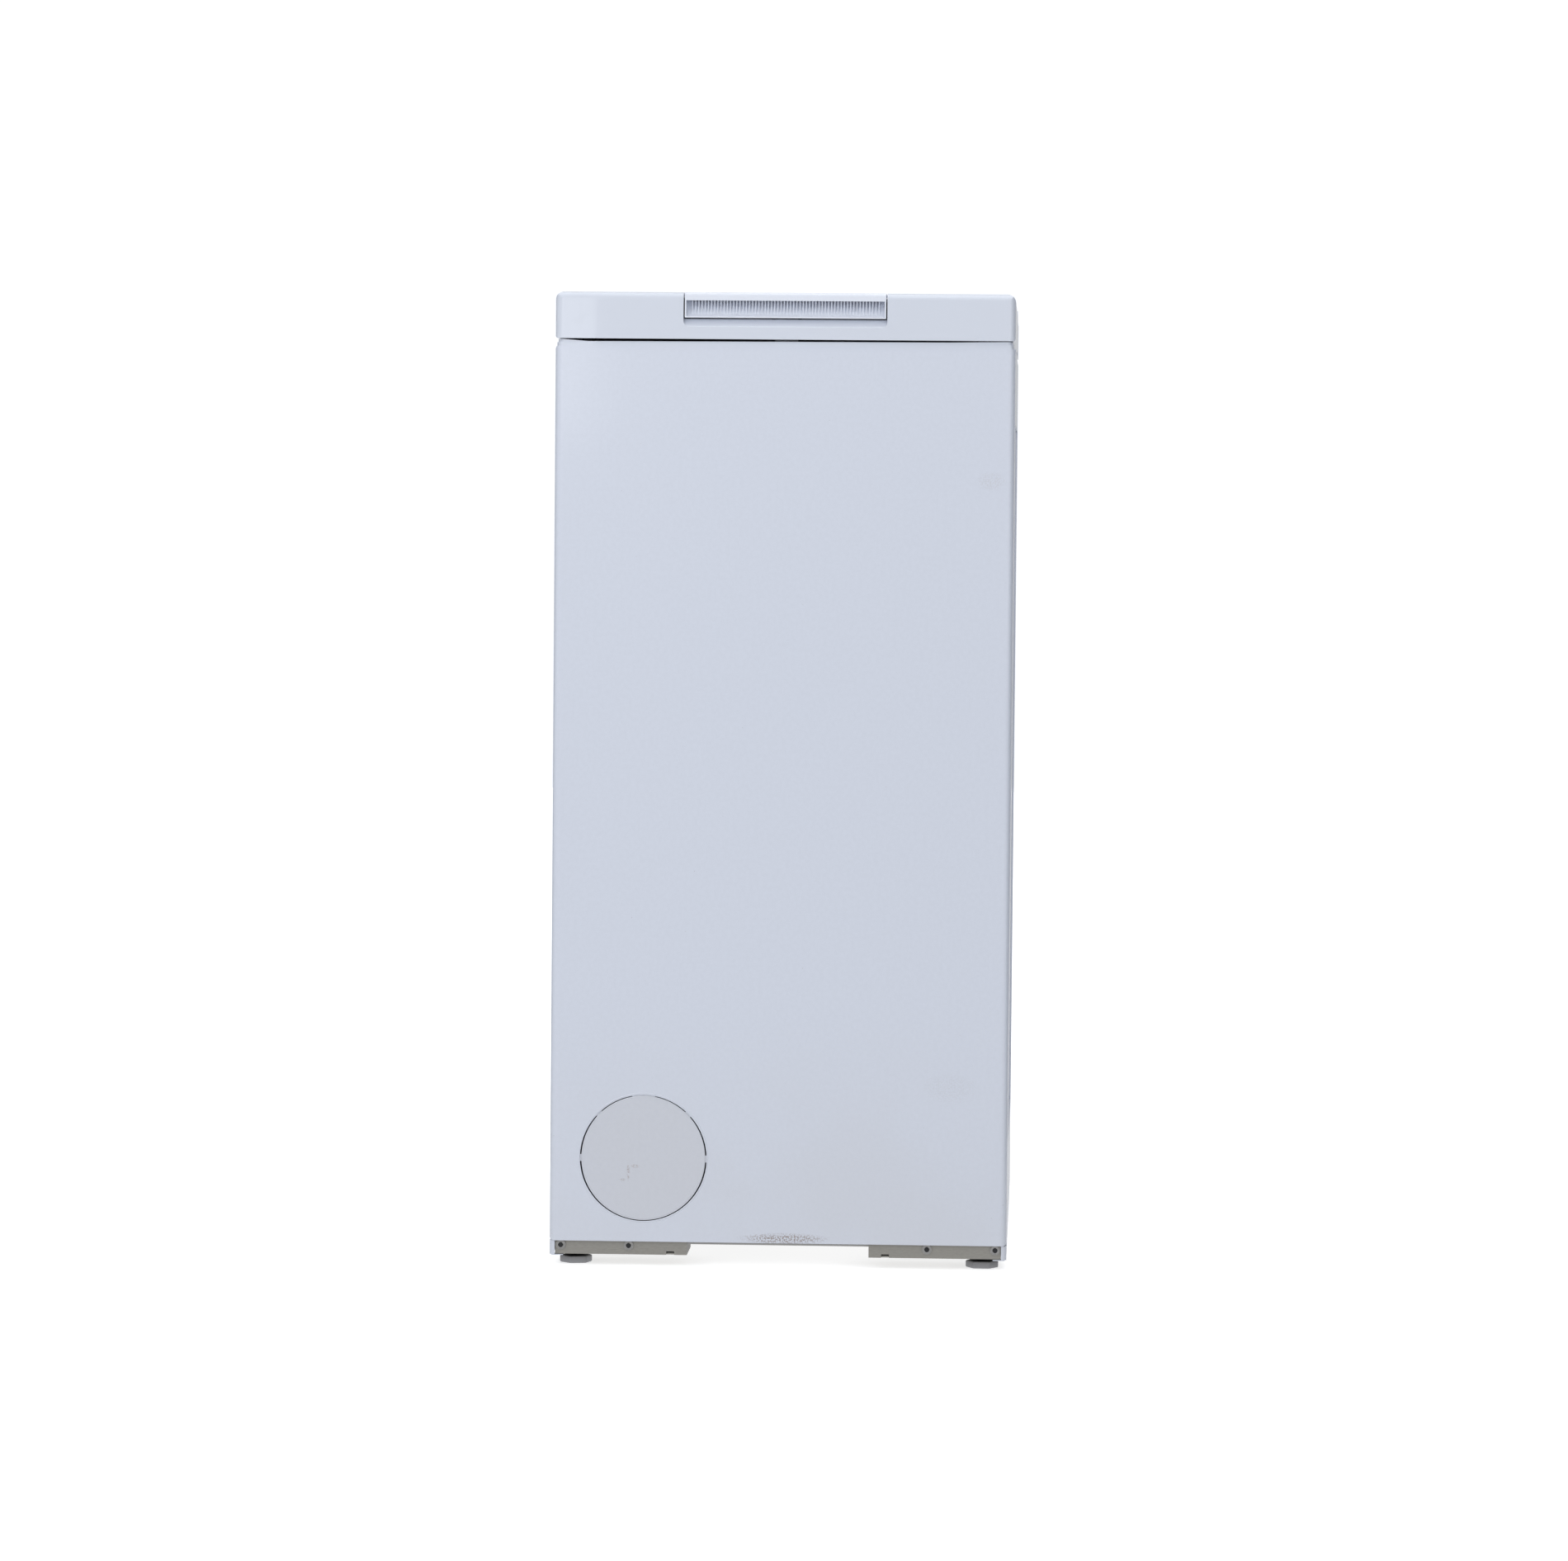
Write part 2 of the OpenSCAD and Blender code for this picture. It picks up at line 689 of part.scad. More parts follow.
// Handle: a bar with a finger pocket, a hook below it and a bore for its pin
module handle() {
    low = body_h - handle_h;
    hx = handle_w / 2;
    arm_w = 10;
    color([0.88, 0.90, 0.94])
    difference() {
        union() {
            along_x(-hx, hx) {
                translate([front + 3, low]) square([handle_back - front - 3, handle_h]);
                translate([front, low]) square([10, handle_h - 3]);
                translate([front + 3, body_h - 3]) circle(3);
            }
            box([-arm_w, handle_back - 6, deck_z - 4], [arm_w, handle_back, low + 1]);
            box([-arm_w, handle_back - 6, deck_z - 4], [arm_w, handle_back + 2.5, deck_z]);
        }
        // Finger pocket under the lip, with a hollow ramp as its back
        along_x(-hx + 1.2, hx - 1.2) polygon([[front - 1, low + 1], [front + 1, low + 1],
            [front + 4.5, low + 3.2], [front + 8.5, low + 7], [front + 12, low + 11.5],
            [front + 13.5, low + 15], [front - 1, low + 15]]);
        // Hollow behind the pocket, open below
        box([-hx + 3, front + 19, low - 1], [-arm_w - 3, handle_back - 3, body_h - 7.5]);
        box([arm_w + 3, front + 19, low - 1], [hx - 3, handle_back - 3, body_h - 7.5]);
        x_rod(1.55, -hx - 1, hx + 1, handle_pin_y, handle_pin_z);
    }
}

// Round cap over the pump filter: centring tabs hold it in the panel's hole
module service_cap() {
    tab_r = cap_hole_r - 0.1;
    color(enamel)
    difference() {
        union() {
            y_rod(cap_r, front + 0.2, front + 2.8, cap_x, cap_z);
            difference() {
                y_rod(cap_r - 2, front + 2, front + 12, cap_x, cap_z);
                y_rod(cap_r - 4, front + 2.8, front + 13, cap_x, cap_z);
            }
            intersection() {
                y_rod(tab_r, front + 0.6, front + 2.8, cap_x, cap_z);
                translate([cap_x, 0, cap_z]) union() {
                    box([-10, front, 40], [10, front + 5, 60]);
                    for (a = [-90, -45, 45, 90]) {
                        rotate([0, a, 0]) box([-3, front, 50], [3, front + 5, 60]);
                    }
                }
            }
        }
        // Coin slot at the lowest point
        translate([cap_x, front - 1, cap_z - cap_r - 4.5]) rotate([0, 45, 0]) cube([7, 6, 7]);
    }
}

// Pump filter: a plug with a grip bar and a slotted basket behind it
module pump_filter() {
    color([0.90, 0.90, 0.88])
    difference() {
        union() {
            y_rod(31, pump_front - 4, pump_front - slip, cap_x, cap_z);
            box([cap_x - 26, pump_front - 10, cap_z - 4], [cap_x + 26, pump_front - 3, cap_z + 4]);
            y_rod(filter_r - fit, pump_front - slip, pump_front + 16, cap_x, cap_z);
            y_rod(20, pump_front + 15, pump_back - 20, cap_x, cap_z);
        }
        y_rod(17.5, pump_front + 18, pump_back - 19, cap_x, cap_z);
        for (i = [0:4]) {
            for (s = [0, 90]) translate([cap_x, 0, cap_z]) rotate([0, s, 0])
                box([-25, pump_front + 24 + i * 12, -4], [25, pump_front + 30 + i * 12, 4]);
        }
    }
}

// Drain pump: filter housing, impeller chamber and motor on a stand
module drain_pump() {
    chamber_y = pump_back - 15;
    color([0.30, 0.31, 0.33])
    difference() {
        union() {
            y_rod(pump_tube_r, pump_front, pump_back, cap_x, cap_z);
            y_rod(33, pump_front, pump_front + 5, cap_x, cap_z);
            x_rod(30, cap_x, outlet_x + 12, chamber_y, cap_z);
            x_rod(22, outlet_x + 12, outlet_x + 42, chamber_y, cap_z);
            y_rod(hose_r, pump_back - 3, pump_back + 32, cap_x, cap_z);
            y_rod(8.9, chamber_y, pump_back + 32, outlet_x, outlet_z);
            box([cap_x - 20, pump_front + 30, base_z + base_t],
                [cap_x + 20, pump_back - 2, cap_z - 20]);
        }
        y_rod(filter_r, pump_front - 1, pump_back - 8, cap_x, cap_z);
        y_rod(hose_r - 3, pump_back - 9, pump_back + 33, cap_x, cap_z);
        y_rod(7, chamber_y + 5, pump_back + 33, outlet_x, outlet_z);
    }
}

// Drain pipe from the pump to the spout at the back
module outlet_pipe() {
    color(black)
    difference() {
        union() {
            y_rod(12, pump_back + 22, rear_y, outlet_x, outlet_z);
            y_rod(18, rear_y - 5, rear_y, outlet_x, outlet_z);
            y_rod(11.5, rear_y - 1, spout_end, outlet_x, outlet_z);
        }
        y_rod(9, pump_back + 21, spout_end + 1, outlet_x, outlet_z);
    }
}

// Rubber hose from the tub's sump down to the pump
module sump_hose() {
    turn = 40;
    y0 = pump_back + 17;
    ye = sump_out[1] - turn;
    color(black)
    difference() {
        union() {
            y_rod(hose_r + hose_wall, y0, ye, cap_x, cap_z);
            translate([cap_x, ye, cap_z + turn]) rotate([90, 0, 90]) rotate([0, 0, -90])
                rotate_extrude(angle = 90) translate([turn, 0]) circle(hose_r + hose_wall);
            z_rod(hose_r + hose_wall, cap_z + turn, sump_z - 1, cap_x, sump_out[1]);
        }
        y_rod(hose_r, y0 - 1, ye, cap_x, cap_z);
        translate([cap_x, ye, cap_z + turn]) rotate([90, 0, 90]) rotate([0, 0, -90])
            rotate_extrude(angle = 90) translate([turn, 0]) circle(hose_r);
        z_rod(hose_r, cap_z + turn, sump_z, cap_x, sump_out[1]);
    }
}

// Water inlet valve with its threaded spout and two coils
module inlet_valve() {
    color([0.90, 0.90, 0.92])
    difference() {
        union() {
            box([inlet_x - 20, rear_y - 43, inlet_z - 20], [inlet_x + 20, rear_y - slip, inlet_z + 20]);
            y_rod(inlet_thread_r, rear_y - 1, spout_end, inlet_x, inlet_z);
            for (x = [-10, 10]) z_rod(9, inlet_z + 20, inlet_z + 52, inlet_x + x, rear_y - 22);
            z_rod(6, inlet_z - 42, inlet_z - 20, inlet_x, rear_y - 28);
        }
        y_rod(9, rear_y - 10, spout_end + 1, inlet_x, inlet_z);
    }
}

// Grommet that a mains lead passes through
module mains_gland() {
    color(black)
    difference() {
        union() {
            y_rod(12, rear_y + sheet, rear_y + sheet + 3, gland_x, gland_z);
            y_rod(9, rear_y - 6, rear_y + sheet + 1, gland_x, gland_z);
            y_rod(7, rear_y + sheet + 2, rear_y + 18, gland_x, gland_z);
        }
        y_rod(gland_bore_r, rear_y - 7, rear_y + 19, gland_x, gland_z);
    }
}

// Friction dampers stand on the base; their rods hold the tub from below
module damper_housings() {
    floor_z = base_z + base_t;
    color([0.75, 0.75, 0.76]) front_and_back()
    difference() {
        union() {
            z_rod(14, floor_z, 150, damper_x, damper_y);
            box([damper_x - 18, damper_y - 18, floor_z], [damper_x + 18, damper_y + 18, floor_z + 8]);
        }
        z_rod(piston_r + 0.1, 40, 144, damper_x, damper_y);
        z_rod(rod_r + fit, 143, 151, damper_x, damper_y);
    }
}
module damper_rods() {
    color(steel) front_and_back() {
        z_rod(rod_r, 70, 228, damper_x, damper_y);
        z_rod(piston_r, 70, 86, damper_x, damper_y);
    }
}

// Springs between the cross rails and the tub, as plain tubes of the coils' outer size
module suspension_springs() {
    color(steel)
    for (x = spring_x, y = [-spring_y, spring_y]) {
        difference() {
            z_rod(spring_r, spring_bottom, rail_z, x, y);
            z_rod(spring_r - 3, spring_bottom - 1, rail_z + 1, x, y);
        }
    }
}

// Soft sleeve between the tub's neck and the top frame's collar
module neck_outline(grow) {
    translate([mouth_x, 0]) rounded(neck_w + 2 * grow, neck_d + 2 * grow, 25 + grow);
}
module tub_bellows() {
    color([0.55, 0.56, 0.58])
    along_z(neck_top, collar_bottom) difference() {
        neck_outline(tub_wall);
        neck_outline(0);
    }
}

// Tub: a drum-shaped vessel with a neck on top and a sump below
module tub_shell() {
    color([0.80, 0.81, 0.80])
    difference() {
        union() {
            x_rod(tub_out, tub_x0, tub_x1, 0, axis_z);
            for (x = [tub_x0, tub_x1 - 4]) x_rod(cover_r, x, x + 4, 0, axis_z);
            along_z(axis_z, neck_top) neck_outline(tub_wall);
            box([sump_x0, -sump_half, sump_z], [sump_x1, sump_half, axis_z]);
            z_rod(hose_r, sump_z - 25, sump_z + 1, sump_out[0], sump_out[1]);
            for (x = spring_x, y = [-spring_y, spring_y]) {
                box([x - 8, y - 8, axis_z + 150], [x + 8, y + 8, spring_bottom]);
            }
            for (y = [-damper_y, damper_y]) {
                box([damper_x - 12, y - 12, 228], [damper_x + 12, y + 12, axis_z - 150]);
            }
        }
        x_rod(tub_r, tub_x0 - 1, tub_x1 + 1, 0, axis_z);
        along_z(axis_z, neck_top + 1) neck_outline(0);
        box([sump_x0 + sump_wall, -sump_half + sump_wall, sump_z + sump_wall],
            [sump_x1 - sump_wall, sump_half - sump_wall, axis_z]);
        z_rod(hose_r - 3, sump_z - 26, sump_z + 5, sump_out[0], sump_out[1]);
        box([sump_x0 - 1, -14, sump_z + 5], [sump_x0 + sump_wall + 1, 14, sump_z + 16]);
    }
}

// Side cover of the tub, seen from its inner face outwards, with a ribbed bearing hub
module tub_cover() {
    rib_h = 14;
    difference() {
        union() {
            x_rod(cover_r, 0, cover_t, 0, 0);
            x_rod(38, 0, hub_l, 0, 0);
            for (i = [0:11]) rotate([i * 30, 0, 0]) box([0, -1.5, 30], [rib_h, 1.5, 245]);
        }
        x_rod(seal_r, -1, seal_pocket + 1, 0, 0);
        x_rod(bearing_r, seal_pocket, hub_l + 1, 0, 0);
    }
}
module left_tub_cover() {
    color([0.80, 0.81, 0.80]) translate([tub_x0, 0, axis_z]) mirror([1, 0, 0]) tub_cover();
}
module right_tub_cover() {
    color([0.80, 0.81, 0.80]) translate([tub_x1, 0, axis_z]) tub_cover();
}

// A ring on the drum axis
module axis_ring(r_in, r_out, x0, x1) {
    difference() {
        x_rod(r_out, x0, x1, 0, axis_z);
        x_rod(r_in, x0 - 1, x1 + 1, 0, axis_z);
    }
}
module bearings() {
    color(steel) {
        axis_ring(shaft_r + fit, bearing_r, tub_x0 - seal_pocket - bearing_w, tub_x0 - seal_pocket);
        axis_ring(shaft_r + fit, bearing_r, tub_x1 + seal_pocket, tub_x1 + seal_pocket + bearing_w);
    }
}
module shaft_seals() {
    color(black) {
        axis_ring(shaft_r + fit, seal_r, tub_x0 - seal_pocket, tub_x0 - 1);
        axis_ring(shaft_r + fit, seal_r, tub_x1 + 1, tub_x1 + seal_pocket);
    }
}

// Cast weights that steady the tub, shaped to its sides
module counterweights() {
    color([0.55, 0.54, 0.52])
    difference() {
        union() {
            box([-120, front + 12, 555], [100, -190, 645]);
            box([-120, 190, 555], [100, rear_y - 6, 645]);
        }
        x_rod(tub_out, -130, 110, 0, axis_z);
    }
}

// Heating element: a rod bent into a long U in the sump
module heater() {
    z = sump_z + 10.5;
    x_end = sump_x1 - 20;
    color([0.55, 0.50, 0.45]) {
        for (y = [-8, 8]) x_rod(3.5, sump_x0 - 10, x_end, y, z);
        translate([x_end, 0, z]) rotate([0, 0, -90])
            rotate_extrude(angle = 180) translate([8, 0]) circle(3.5);
        box([sump_x0, -14, sump_z + 5], [sump_x0 + sump_wall, 14, sump_z + 16]);
    }
}

// Motor under the tub, on a cast foot that fits the tub's underside
module motor() {
    color([0.35, 0.36, 0.38])
    difference() {
        union() {
            x_rod(motor_r, -40, 100, motor_y, motor_z);
            x_rod(20, 100, 108, motor_y, motor_z);
            box([-20, motor_y - 30, motor_z], [80, motor_y + 30, axis_z - 190]);
        }
        x_rod(tub_out, -60, 120, 0, axis_z);
        x_rod(8 + fit, 80, 109, motor_y, motor_z);
    }
}
module motor_pulley() {
    color(steel) {
        x_rod(8, 82, pulley_x0 - 2, motor_y, motor_z);
        x_rod(motor_pulley_r, pulley_x0 - 2, pulley_x1 + 2, motor_y, motor_z);
        for (x = [pulley_x0 - 2, pulley_x1]) x_rod(motor_pulley_r + 3, x, x + 2, motor_y, motor_z);
    }
}

// Belt around both pulleys
module belt_loop(grow) {
    hull() {
        translate([0, axis_z]) circle(pulley_r + grow, $fn = 120);
        translate([motor_y, motor_z]) circle(motor_pulley_r + grow, $fn = 36);
    }
}
module drive_belt() {
    color(black)
    along_x(pulley_x0 + 1.5, pulley_x1 - 1.5) difference() {
        belt_loop(belt_gap + belt_t);
        belt_loop(belt_gap);
    }
}

// Drum pulley with a rim, a web with round windows and a hub
module drum_pulley() {
    mid = (pulley_x0 + pulley_x1) / 2;
    color([0.62, 0.63, 0.65])
    difference() {
        x_rod(pulley_r, pulley_x0, pulley_x1, 0, axis_z);
        for (x = [pulley_x0 - 1, mid + 2]) {
            difference() {
                x_rod(pulley_r - 8, x, x + mid - pulley_x0 - 1, 0, axis_z);
                x_rod(26, x - 1, x + 20, 0, axis_z);
            }
        }
        for (i = [0:5]) translate([0, 0, axis_z]) rotate([i * 60, 0, 0])
            x_rod(26, pulley_x0 - 1, pulley_x1 + 1, 0, 78);
        x_rod(shaft_r, pulley_x0 - 1, pulley_x1 + 1, 0, axis_z);
    }
}

// Shafts bolted to the drum's ends
module drum_shafts() {
    color(steel) {
        x_rod(55, drum_x0 - 3, drum_x0, 0, axis_z);
        x_rod(shaft_r, drum_x0 - 30, drum_x0 - 3, 0, axis_z);
        x_rod(55, drum_x1, drum_x1 + 3, 0, axis_z);
        x_rod(shaft_r, drum_x1 + 3, pulley_x1 + 2, 0, axis_z);
    }
}

// Drum: a closed cylinder with a hatch in its side and lugs for the flap pins
hatch_x0 = mouth_x - hatch_half;
hatch_x1 = mouth_x + hatch_half;
module drum_shell() {
    color(steel)
    difference() {
        union() {
            x_rod(drum_r, drum_x0, drum_x1, 0, axis_z);
            for (y = [-1, 1], x = [hatch_x0 - 7, hatch_x1 + 1]) {
                x_rod(5, x, x + 6, y * flap_hinge_y, flap_hinge_z);
            }
        }
        x_rod(drum_r - drum_sheet, drum_x0 + drum_sheet, drum_x1 - drum_sheet, 0, axis_z);
        box([hatch_x0, -hatch_y, axis_z + 150], [hatch_x1, hatch_y, axis_z + 250]);
        for (y = [-1, 1]) {
            x_rod(flap_pin_r, hatch_x0 - 10, hatch_x1 + 10, y * flap_hinge_y, flap_hinge_z);
        }
    }
}
module flap_pins() {
    color(steel)
    for (y = [-1, 1]) x_rod(flap_pin_r, hatch_x0 - 7, hatch_x1 + 7, y * flap_hinge_y, flap_hinge_z);
}

// Paddles that lift the laundry
module drum_paddles() {
    color([0.80, 0.82, 0.84])
    for (i = [0:paddle_count - 1]) {
        intersection() {
            x_rod(drum_r - drum_sheet, drum_x0 + 2, drum_x1 - 2, 0, axis_z);
            translate([0, 0, axis_z]) rotate([60 + i * 360 / paddle_count, 0, 0])
                along_x(drum_x0 + 2, drum_x1 - 2)
                    polygon([[-30, 240], [-24, 222], [-9, 188], [9, 188], [24, 222], [30, 240]]);
        }
    }
}

// Hatch flap: a curved sheet on a barrel around its pin
module flap_body() {
    difference() {
        along_x(hatch_x0 + 2, hatch_x1 - 2) {
            intersection() {
                difference() {
                    translate([0, axis_z]) circle(drum_r);
                    translate([0, axis_z]) circle(drum_r - drum_sheet);
                }
                translate([0.8, axis_z + 150]) square([flap_hinge_y - 2.8, 90]);
            }
            translate([flap_hinge_y, flap_hinge_z]) circle(4.5);
            translate([0.8, axis_z + drum_r - 8]) square([1.4, 7.6]);
        }
        x_rod(flap_pin_r + fit, hatch_x0, hatch_x1, flap_hinge_y, flap_hinge_z);
    }
}
latch_x = mouth_x;
module rear_flap() { color(steel) flap_body(); }
module front_flap() {
    color(steel) {
        mirror([0, 1, 0]) flap_body();
        for (x = [latch_x - 14.5, latch_x + 11.5]) {
            box([x, -46, axis_z + drum_r - 6], [x + 3, -12, axis_z + drum_r + 6]);
        }
    }
}
module flap_latch() {
    color([0.20, 0.35, 0.60])
    box([latch_x - 11, -38, axis_z + drum_r + 0.4], [latch_x + 11, -16, axis_z + drum_r + 5.5]);
}

// Levelling foot: hexagonal pad with a sunk top, on a threaded stud
module foot(x, y, turn) {
    color(grey)
    translate([x, y, 0]) {
        difference() {
            rotate([0, 0, turn]) cylinder(r = foot_across / 2, h = foot_h, $fn = 6);
            translate([0, 0, foot_h - 2]) cylinder(r = 9.5, h = 3);
        }
        cylinder(r = stud_r, h = 42);
    }
}
module front_left_foot() { foot(-foot_x, foot_front_y, 13); }
module front_right_foot() { foot(foot_x, foot_front_y, -2); }
module rear_left_foot() { foot(-foot_x, foot_rear_y, 20); }
module rear_right_foot() { foot(foot_x, foot_rear_y, 40); }

front_panel();
left_side_panel();
right_side_panel();
rear_panel();
rear_access_cover();
base_frame();
left_foot_bracket();
right_foot_bracket();
case_screws();
top_frame();
cross_rails();
console();
control_board();
display_window();
door_lock();
inlet_valve();
drain_pump();
outlet_pipe();
sump_hose();
mains_gland();
damper_housings();
suspension_springs();
tub_bellows();
lid_outer();
lid_inner();
dispenser_tray();
softener_siphon();
lid_buffers();
lid_pins();
handle();
program_knob();
start_button();
temperature_button();
spin_button();
option_button();
service_cap();
pump_filter();
front_left_foot();
front_right_foot();
rear_left_foot();
rear_right_foot();
tub_shell();
left_tub_cover();
right_tub_cover();
bearings();
shaft_seals();
counterweights();
heater();
motor();
drive_belt();
damper_rods();
drum_shell();
drum_paddles();
drum_shafts();
drum_pulley();
flap_pins();
front_flap();
rear_flap();
flap_latch();
motor_pulley();
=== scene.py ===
"""Looks for the top load washing machine: materials, fine pieces, light and camera."""
import json
import math

import bmesh
import bpy
from mathutils import Matrix, Vector


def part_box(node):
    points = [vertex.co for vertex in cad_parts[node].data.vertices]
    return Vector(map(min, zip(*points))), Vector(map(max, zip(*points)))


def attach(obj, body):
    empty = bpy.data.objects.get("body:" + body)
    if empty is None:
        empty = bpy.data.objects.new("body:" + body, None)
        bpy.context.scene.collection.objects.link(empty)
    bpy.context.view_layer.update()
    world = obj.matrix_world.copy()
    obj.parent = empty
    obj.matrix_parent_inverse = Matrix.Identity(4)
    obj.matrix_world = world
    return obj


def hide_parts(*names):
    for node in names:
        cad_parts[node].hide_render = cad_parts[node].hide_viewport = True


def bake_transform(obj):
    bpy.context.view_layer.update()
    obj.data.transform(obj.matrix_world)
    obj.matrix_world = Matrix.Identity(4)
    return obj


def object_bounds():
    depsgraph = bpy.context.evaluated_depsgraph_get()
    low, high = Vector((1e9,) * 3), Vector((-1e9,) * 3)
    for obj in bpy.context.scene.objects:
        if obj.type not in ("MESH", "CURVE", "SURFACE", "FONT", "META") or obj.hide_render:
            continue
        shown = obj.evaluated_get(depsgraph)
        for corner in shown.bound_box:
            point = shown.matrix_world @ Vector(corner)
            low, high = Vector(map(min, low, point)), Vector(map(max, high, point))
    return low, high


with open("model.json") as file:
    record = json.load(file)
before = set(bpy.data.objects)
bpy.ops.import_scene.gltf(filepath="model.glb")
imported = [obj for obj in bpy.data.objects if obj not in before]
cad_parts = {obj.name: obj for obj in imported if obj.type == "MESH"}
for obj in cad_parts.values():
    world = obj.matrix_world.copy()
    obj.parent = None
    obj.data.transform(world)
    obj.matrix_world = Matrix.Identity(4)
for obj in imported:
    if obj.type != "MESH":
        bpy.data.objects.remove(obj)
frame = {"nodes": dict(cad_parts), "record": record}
CAD_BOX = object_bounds()
NODES = frame["nodes"]
LOW, HIGH = (Vector(corner) for corner in CAD_BOX)
MM = 0.001
# Half the width of the lit tent round the set, and its height, in metres
TENT = 9.0
# Height of the console's fascia, in metres
FASCIA_Z = 834 * MM


# ---------------------------------------------------------------- places taken from the frame
def corners(node):
    low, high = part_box(node)
    return Vector(low), Vector(high)


def centre(node):
    low, high = corners(node)
    return (low + high) / 2


FRONT = LOW.y
DRUM_AXIS_Z = centre("drum_shell").z
DRUM_LOW, DRUM_HIGH = corners("drum_shell")
DRUM_R = (DRUM_HIGH.z - DRUM_LOW.z) / 2
CAP = centre("service_cap")


# ---------------------------------------------------------------- node helpers
class Graph:
    """A short way to write a material's nodes."""

    def __init__(self, name):
        self.material = bpy.data.materials.new(name)
        self.material.use_nodes = True
        self.tree = self.material.node_tree
        self.shader = self.tree.nodes["Principled BSDF"]
        self.position = self.add("ShaderNodeTexCoord").outputs["Object"]

    def add(self, kind, **values):
        node = self.tree.nodes.new(kind)
        for key, value in values.items():
            setattr(node, key, value)
        return node

    def link(self, source, target):
        self.tree.links.new(source, target)

    def scaled(self, scale):
        node = self.add("ShaderNodeMapping")
        node.inputs["Scale"].default_value = scale
        self.link(self.position, node.inputs["Vector"])
        return node.outputs["Vector"]

    def noise(self, scale, detail=3.0, rough=0.5, vector=None):
        node = self.add("ShaderNodeTexNoise")
        node.inputs["Scale"].default_value = scale
        node.inputs["Detail"].default_value = detail
        node.inputs["Roughness"].default_value = rough
        self.link(vector or self.position, node.inputs["Vector"])
        return node.outputs["Fac"]

    def ramp(self, source, low, high, a=0.0, b=1.0):
        node = self.add("ShaderNodeMapRange")
        node.interpolation_type = "SMOOTHSTEP"
        for key, value in zip(("From Min", "From Max", "To Min", "To Max"), (low, high, a, b)):
            node.inputs[key].default_value = value
        self.link(source, node.inputs["Value"])
        return node.outputs["Result"]

    def math(self, operation, a, b=0.0):
        node = self.add("ShaderNodeMath", operation=operation)
        for socket, value in zip(node.inputs, (a, b)):
            if isinstance(value, (int, float)):
                socket.default_value = value
            else:
                self.link(value, socket)
        return node.outputs["Value"]

    def mix(self, factor, a, b):
        node = self.add("ShaderNodeMix", data_type="RGBA")
        self.put(factor, node.inputs["Factor"])
        self.put(a, node.inputs["A"])
        self.put(b, node.inputs["B"])
        return node.outputs["Result"]

    def put(self, value, socket):
        """Sets a socket, or links it if the value is another node's output."""
        if isinstance(value, bpy.types.NodeSocket):
            self.link(value, socket)
        elif isinstance(value, tuple) and len(value) == 3:
            socket.default_value = (*value, 1.0)
        else:
            socket.default_value = value

    def spot(self, place, size):
        """1 inside an ellipsoid around a place, falling to 0 at its edge."""
        shift = self.add("ShaderNodeVectorMath", operation="SUBTRACT")
        self.link(self.position, shift.inputs[0])
        shift.inputs[1].default_value = place
        squeeze = self.add("ShaderNodeVectorMath", operation="DIVIDE")
        self.link(shift.outputs[0], squeeze.inputs[0])
        squeeze.inputs[1].default_value = size
        length = self.add("ShaderNodeVectorMath", operation="LENGTH")
        self.link(squeeze.outputs[0], length.inputs[0])
        return self.ramp(length.outputs["Value"], 1.0, 0.35)

    def bump(self, height, strength, distance=0.001, after=None):
        node = self.add("ShaderNodeBump")
        node.inputs["Strength"].default_value = strength
        node.inputs["Distance"].default_value = distance
        self.link(height, node.inputs["Height"])
        if after:
            self.link(after, node.inputs["Normal"])
        return node.outputs["Normal"]

    def finish(self, colour, roughness, normal=None, **constants):
        self.put(colour, self.shader.inputs["Base Color"])
        self.put(roughness, self.shader.inputs["Roughness"])
        if normal:
            self.link(normal, self.shader.inputs["Normal"])
        for key, value in constants.items():
            self.shader.inputs[key.replace("_", " ")].default_value = value
        return self.material


def srgb(*values):
    """Linear colour from 0-255 display values."""
    return tuple((v / 255 / 12.92) if v < 10.3 else ((v / 255 + 0.055) / 1.055) ** 2.4 for v in values)


def tint(colour, factor):
    """A colour made lighter or darker."""
    return tuple(channel * factor for channel in colour)


# ---------------------------------------------------------------- materials
def enamel(name, colour=srgb(214, 219, 230)):
    """Bluish white stove enamel: faint waviness, fine mottling, dust specks and a darker grey towards the
    bottom.

    Its roughness stays over 0.28: the denoiser treats smoother spots as mirrors, which shows as patches.
    """
    g = Graph(name)
    grain = g.noise(260.0, 2.0)
    tone = g.mix(g.ramp(grain, 0.3, 0.7), tint(colour, 0.990), tint(colour, 1.010))
    mottle = g.ramp(g.noise(800.0, 1.0), 0.2, 0.8, 0.0, 0.10)
    tone = g.mix(mottle, tone, tint(colour, 0.86))
    # Greyer and darker towards the bottom, broken up by noise.
    low = g.add("ShaderNodeSeparateXYZ")
    g.link(g.position, low.inputs[0])
    low_greying = g.math("MULTIPLY", g.ramp(low.outputs["Z"], 0.26, 0.02), 0.35)
    broken_low_greying = g.math("MULTIPLY", low_greying, g.ramp(g.noise(9.0, 4.0), 0.35, 0.7, 0.4, 1.0))
    tone = g.mix(broken_low_greying, tone, srgb(203, 203, 205))
    specks = g.ramp(g.noise(420.0, 1.0), 0.80, 0.83)
    tone = g.mix(g.math("MULTIPLY", specks, 0.35), tone, srgb(120, 108, 96))
    waviness = g.bump(g.noise(9.0, 0.0), 0.015, 0.004)
    peel = g.bump(g.noise(260.0, 0.0), 0.012, 0.0001, after=waviness)
    rough = g.ramp(g.noise(5.0, 2.0), 0.0, 1.0, 0.30, 0.34)
    return g.finish(tone, rough, peel, Coat_Weight=0.8, Coat_Roughness=0.10)


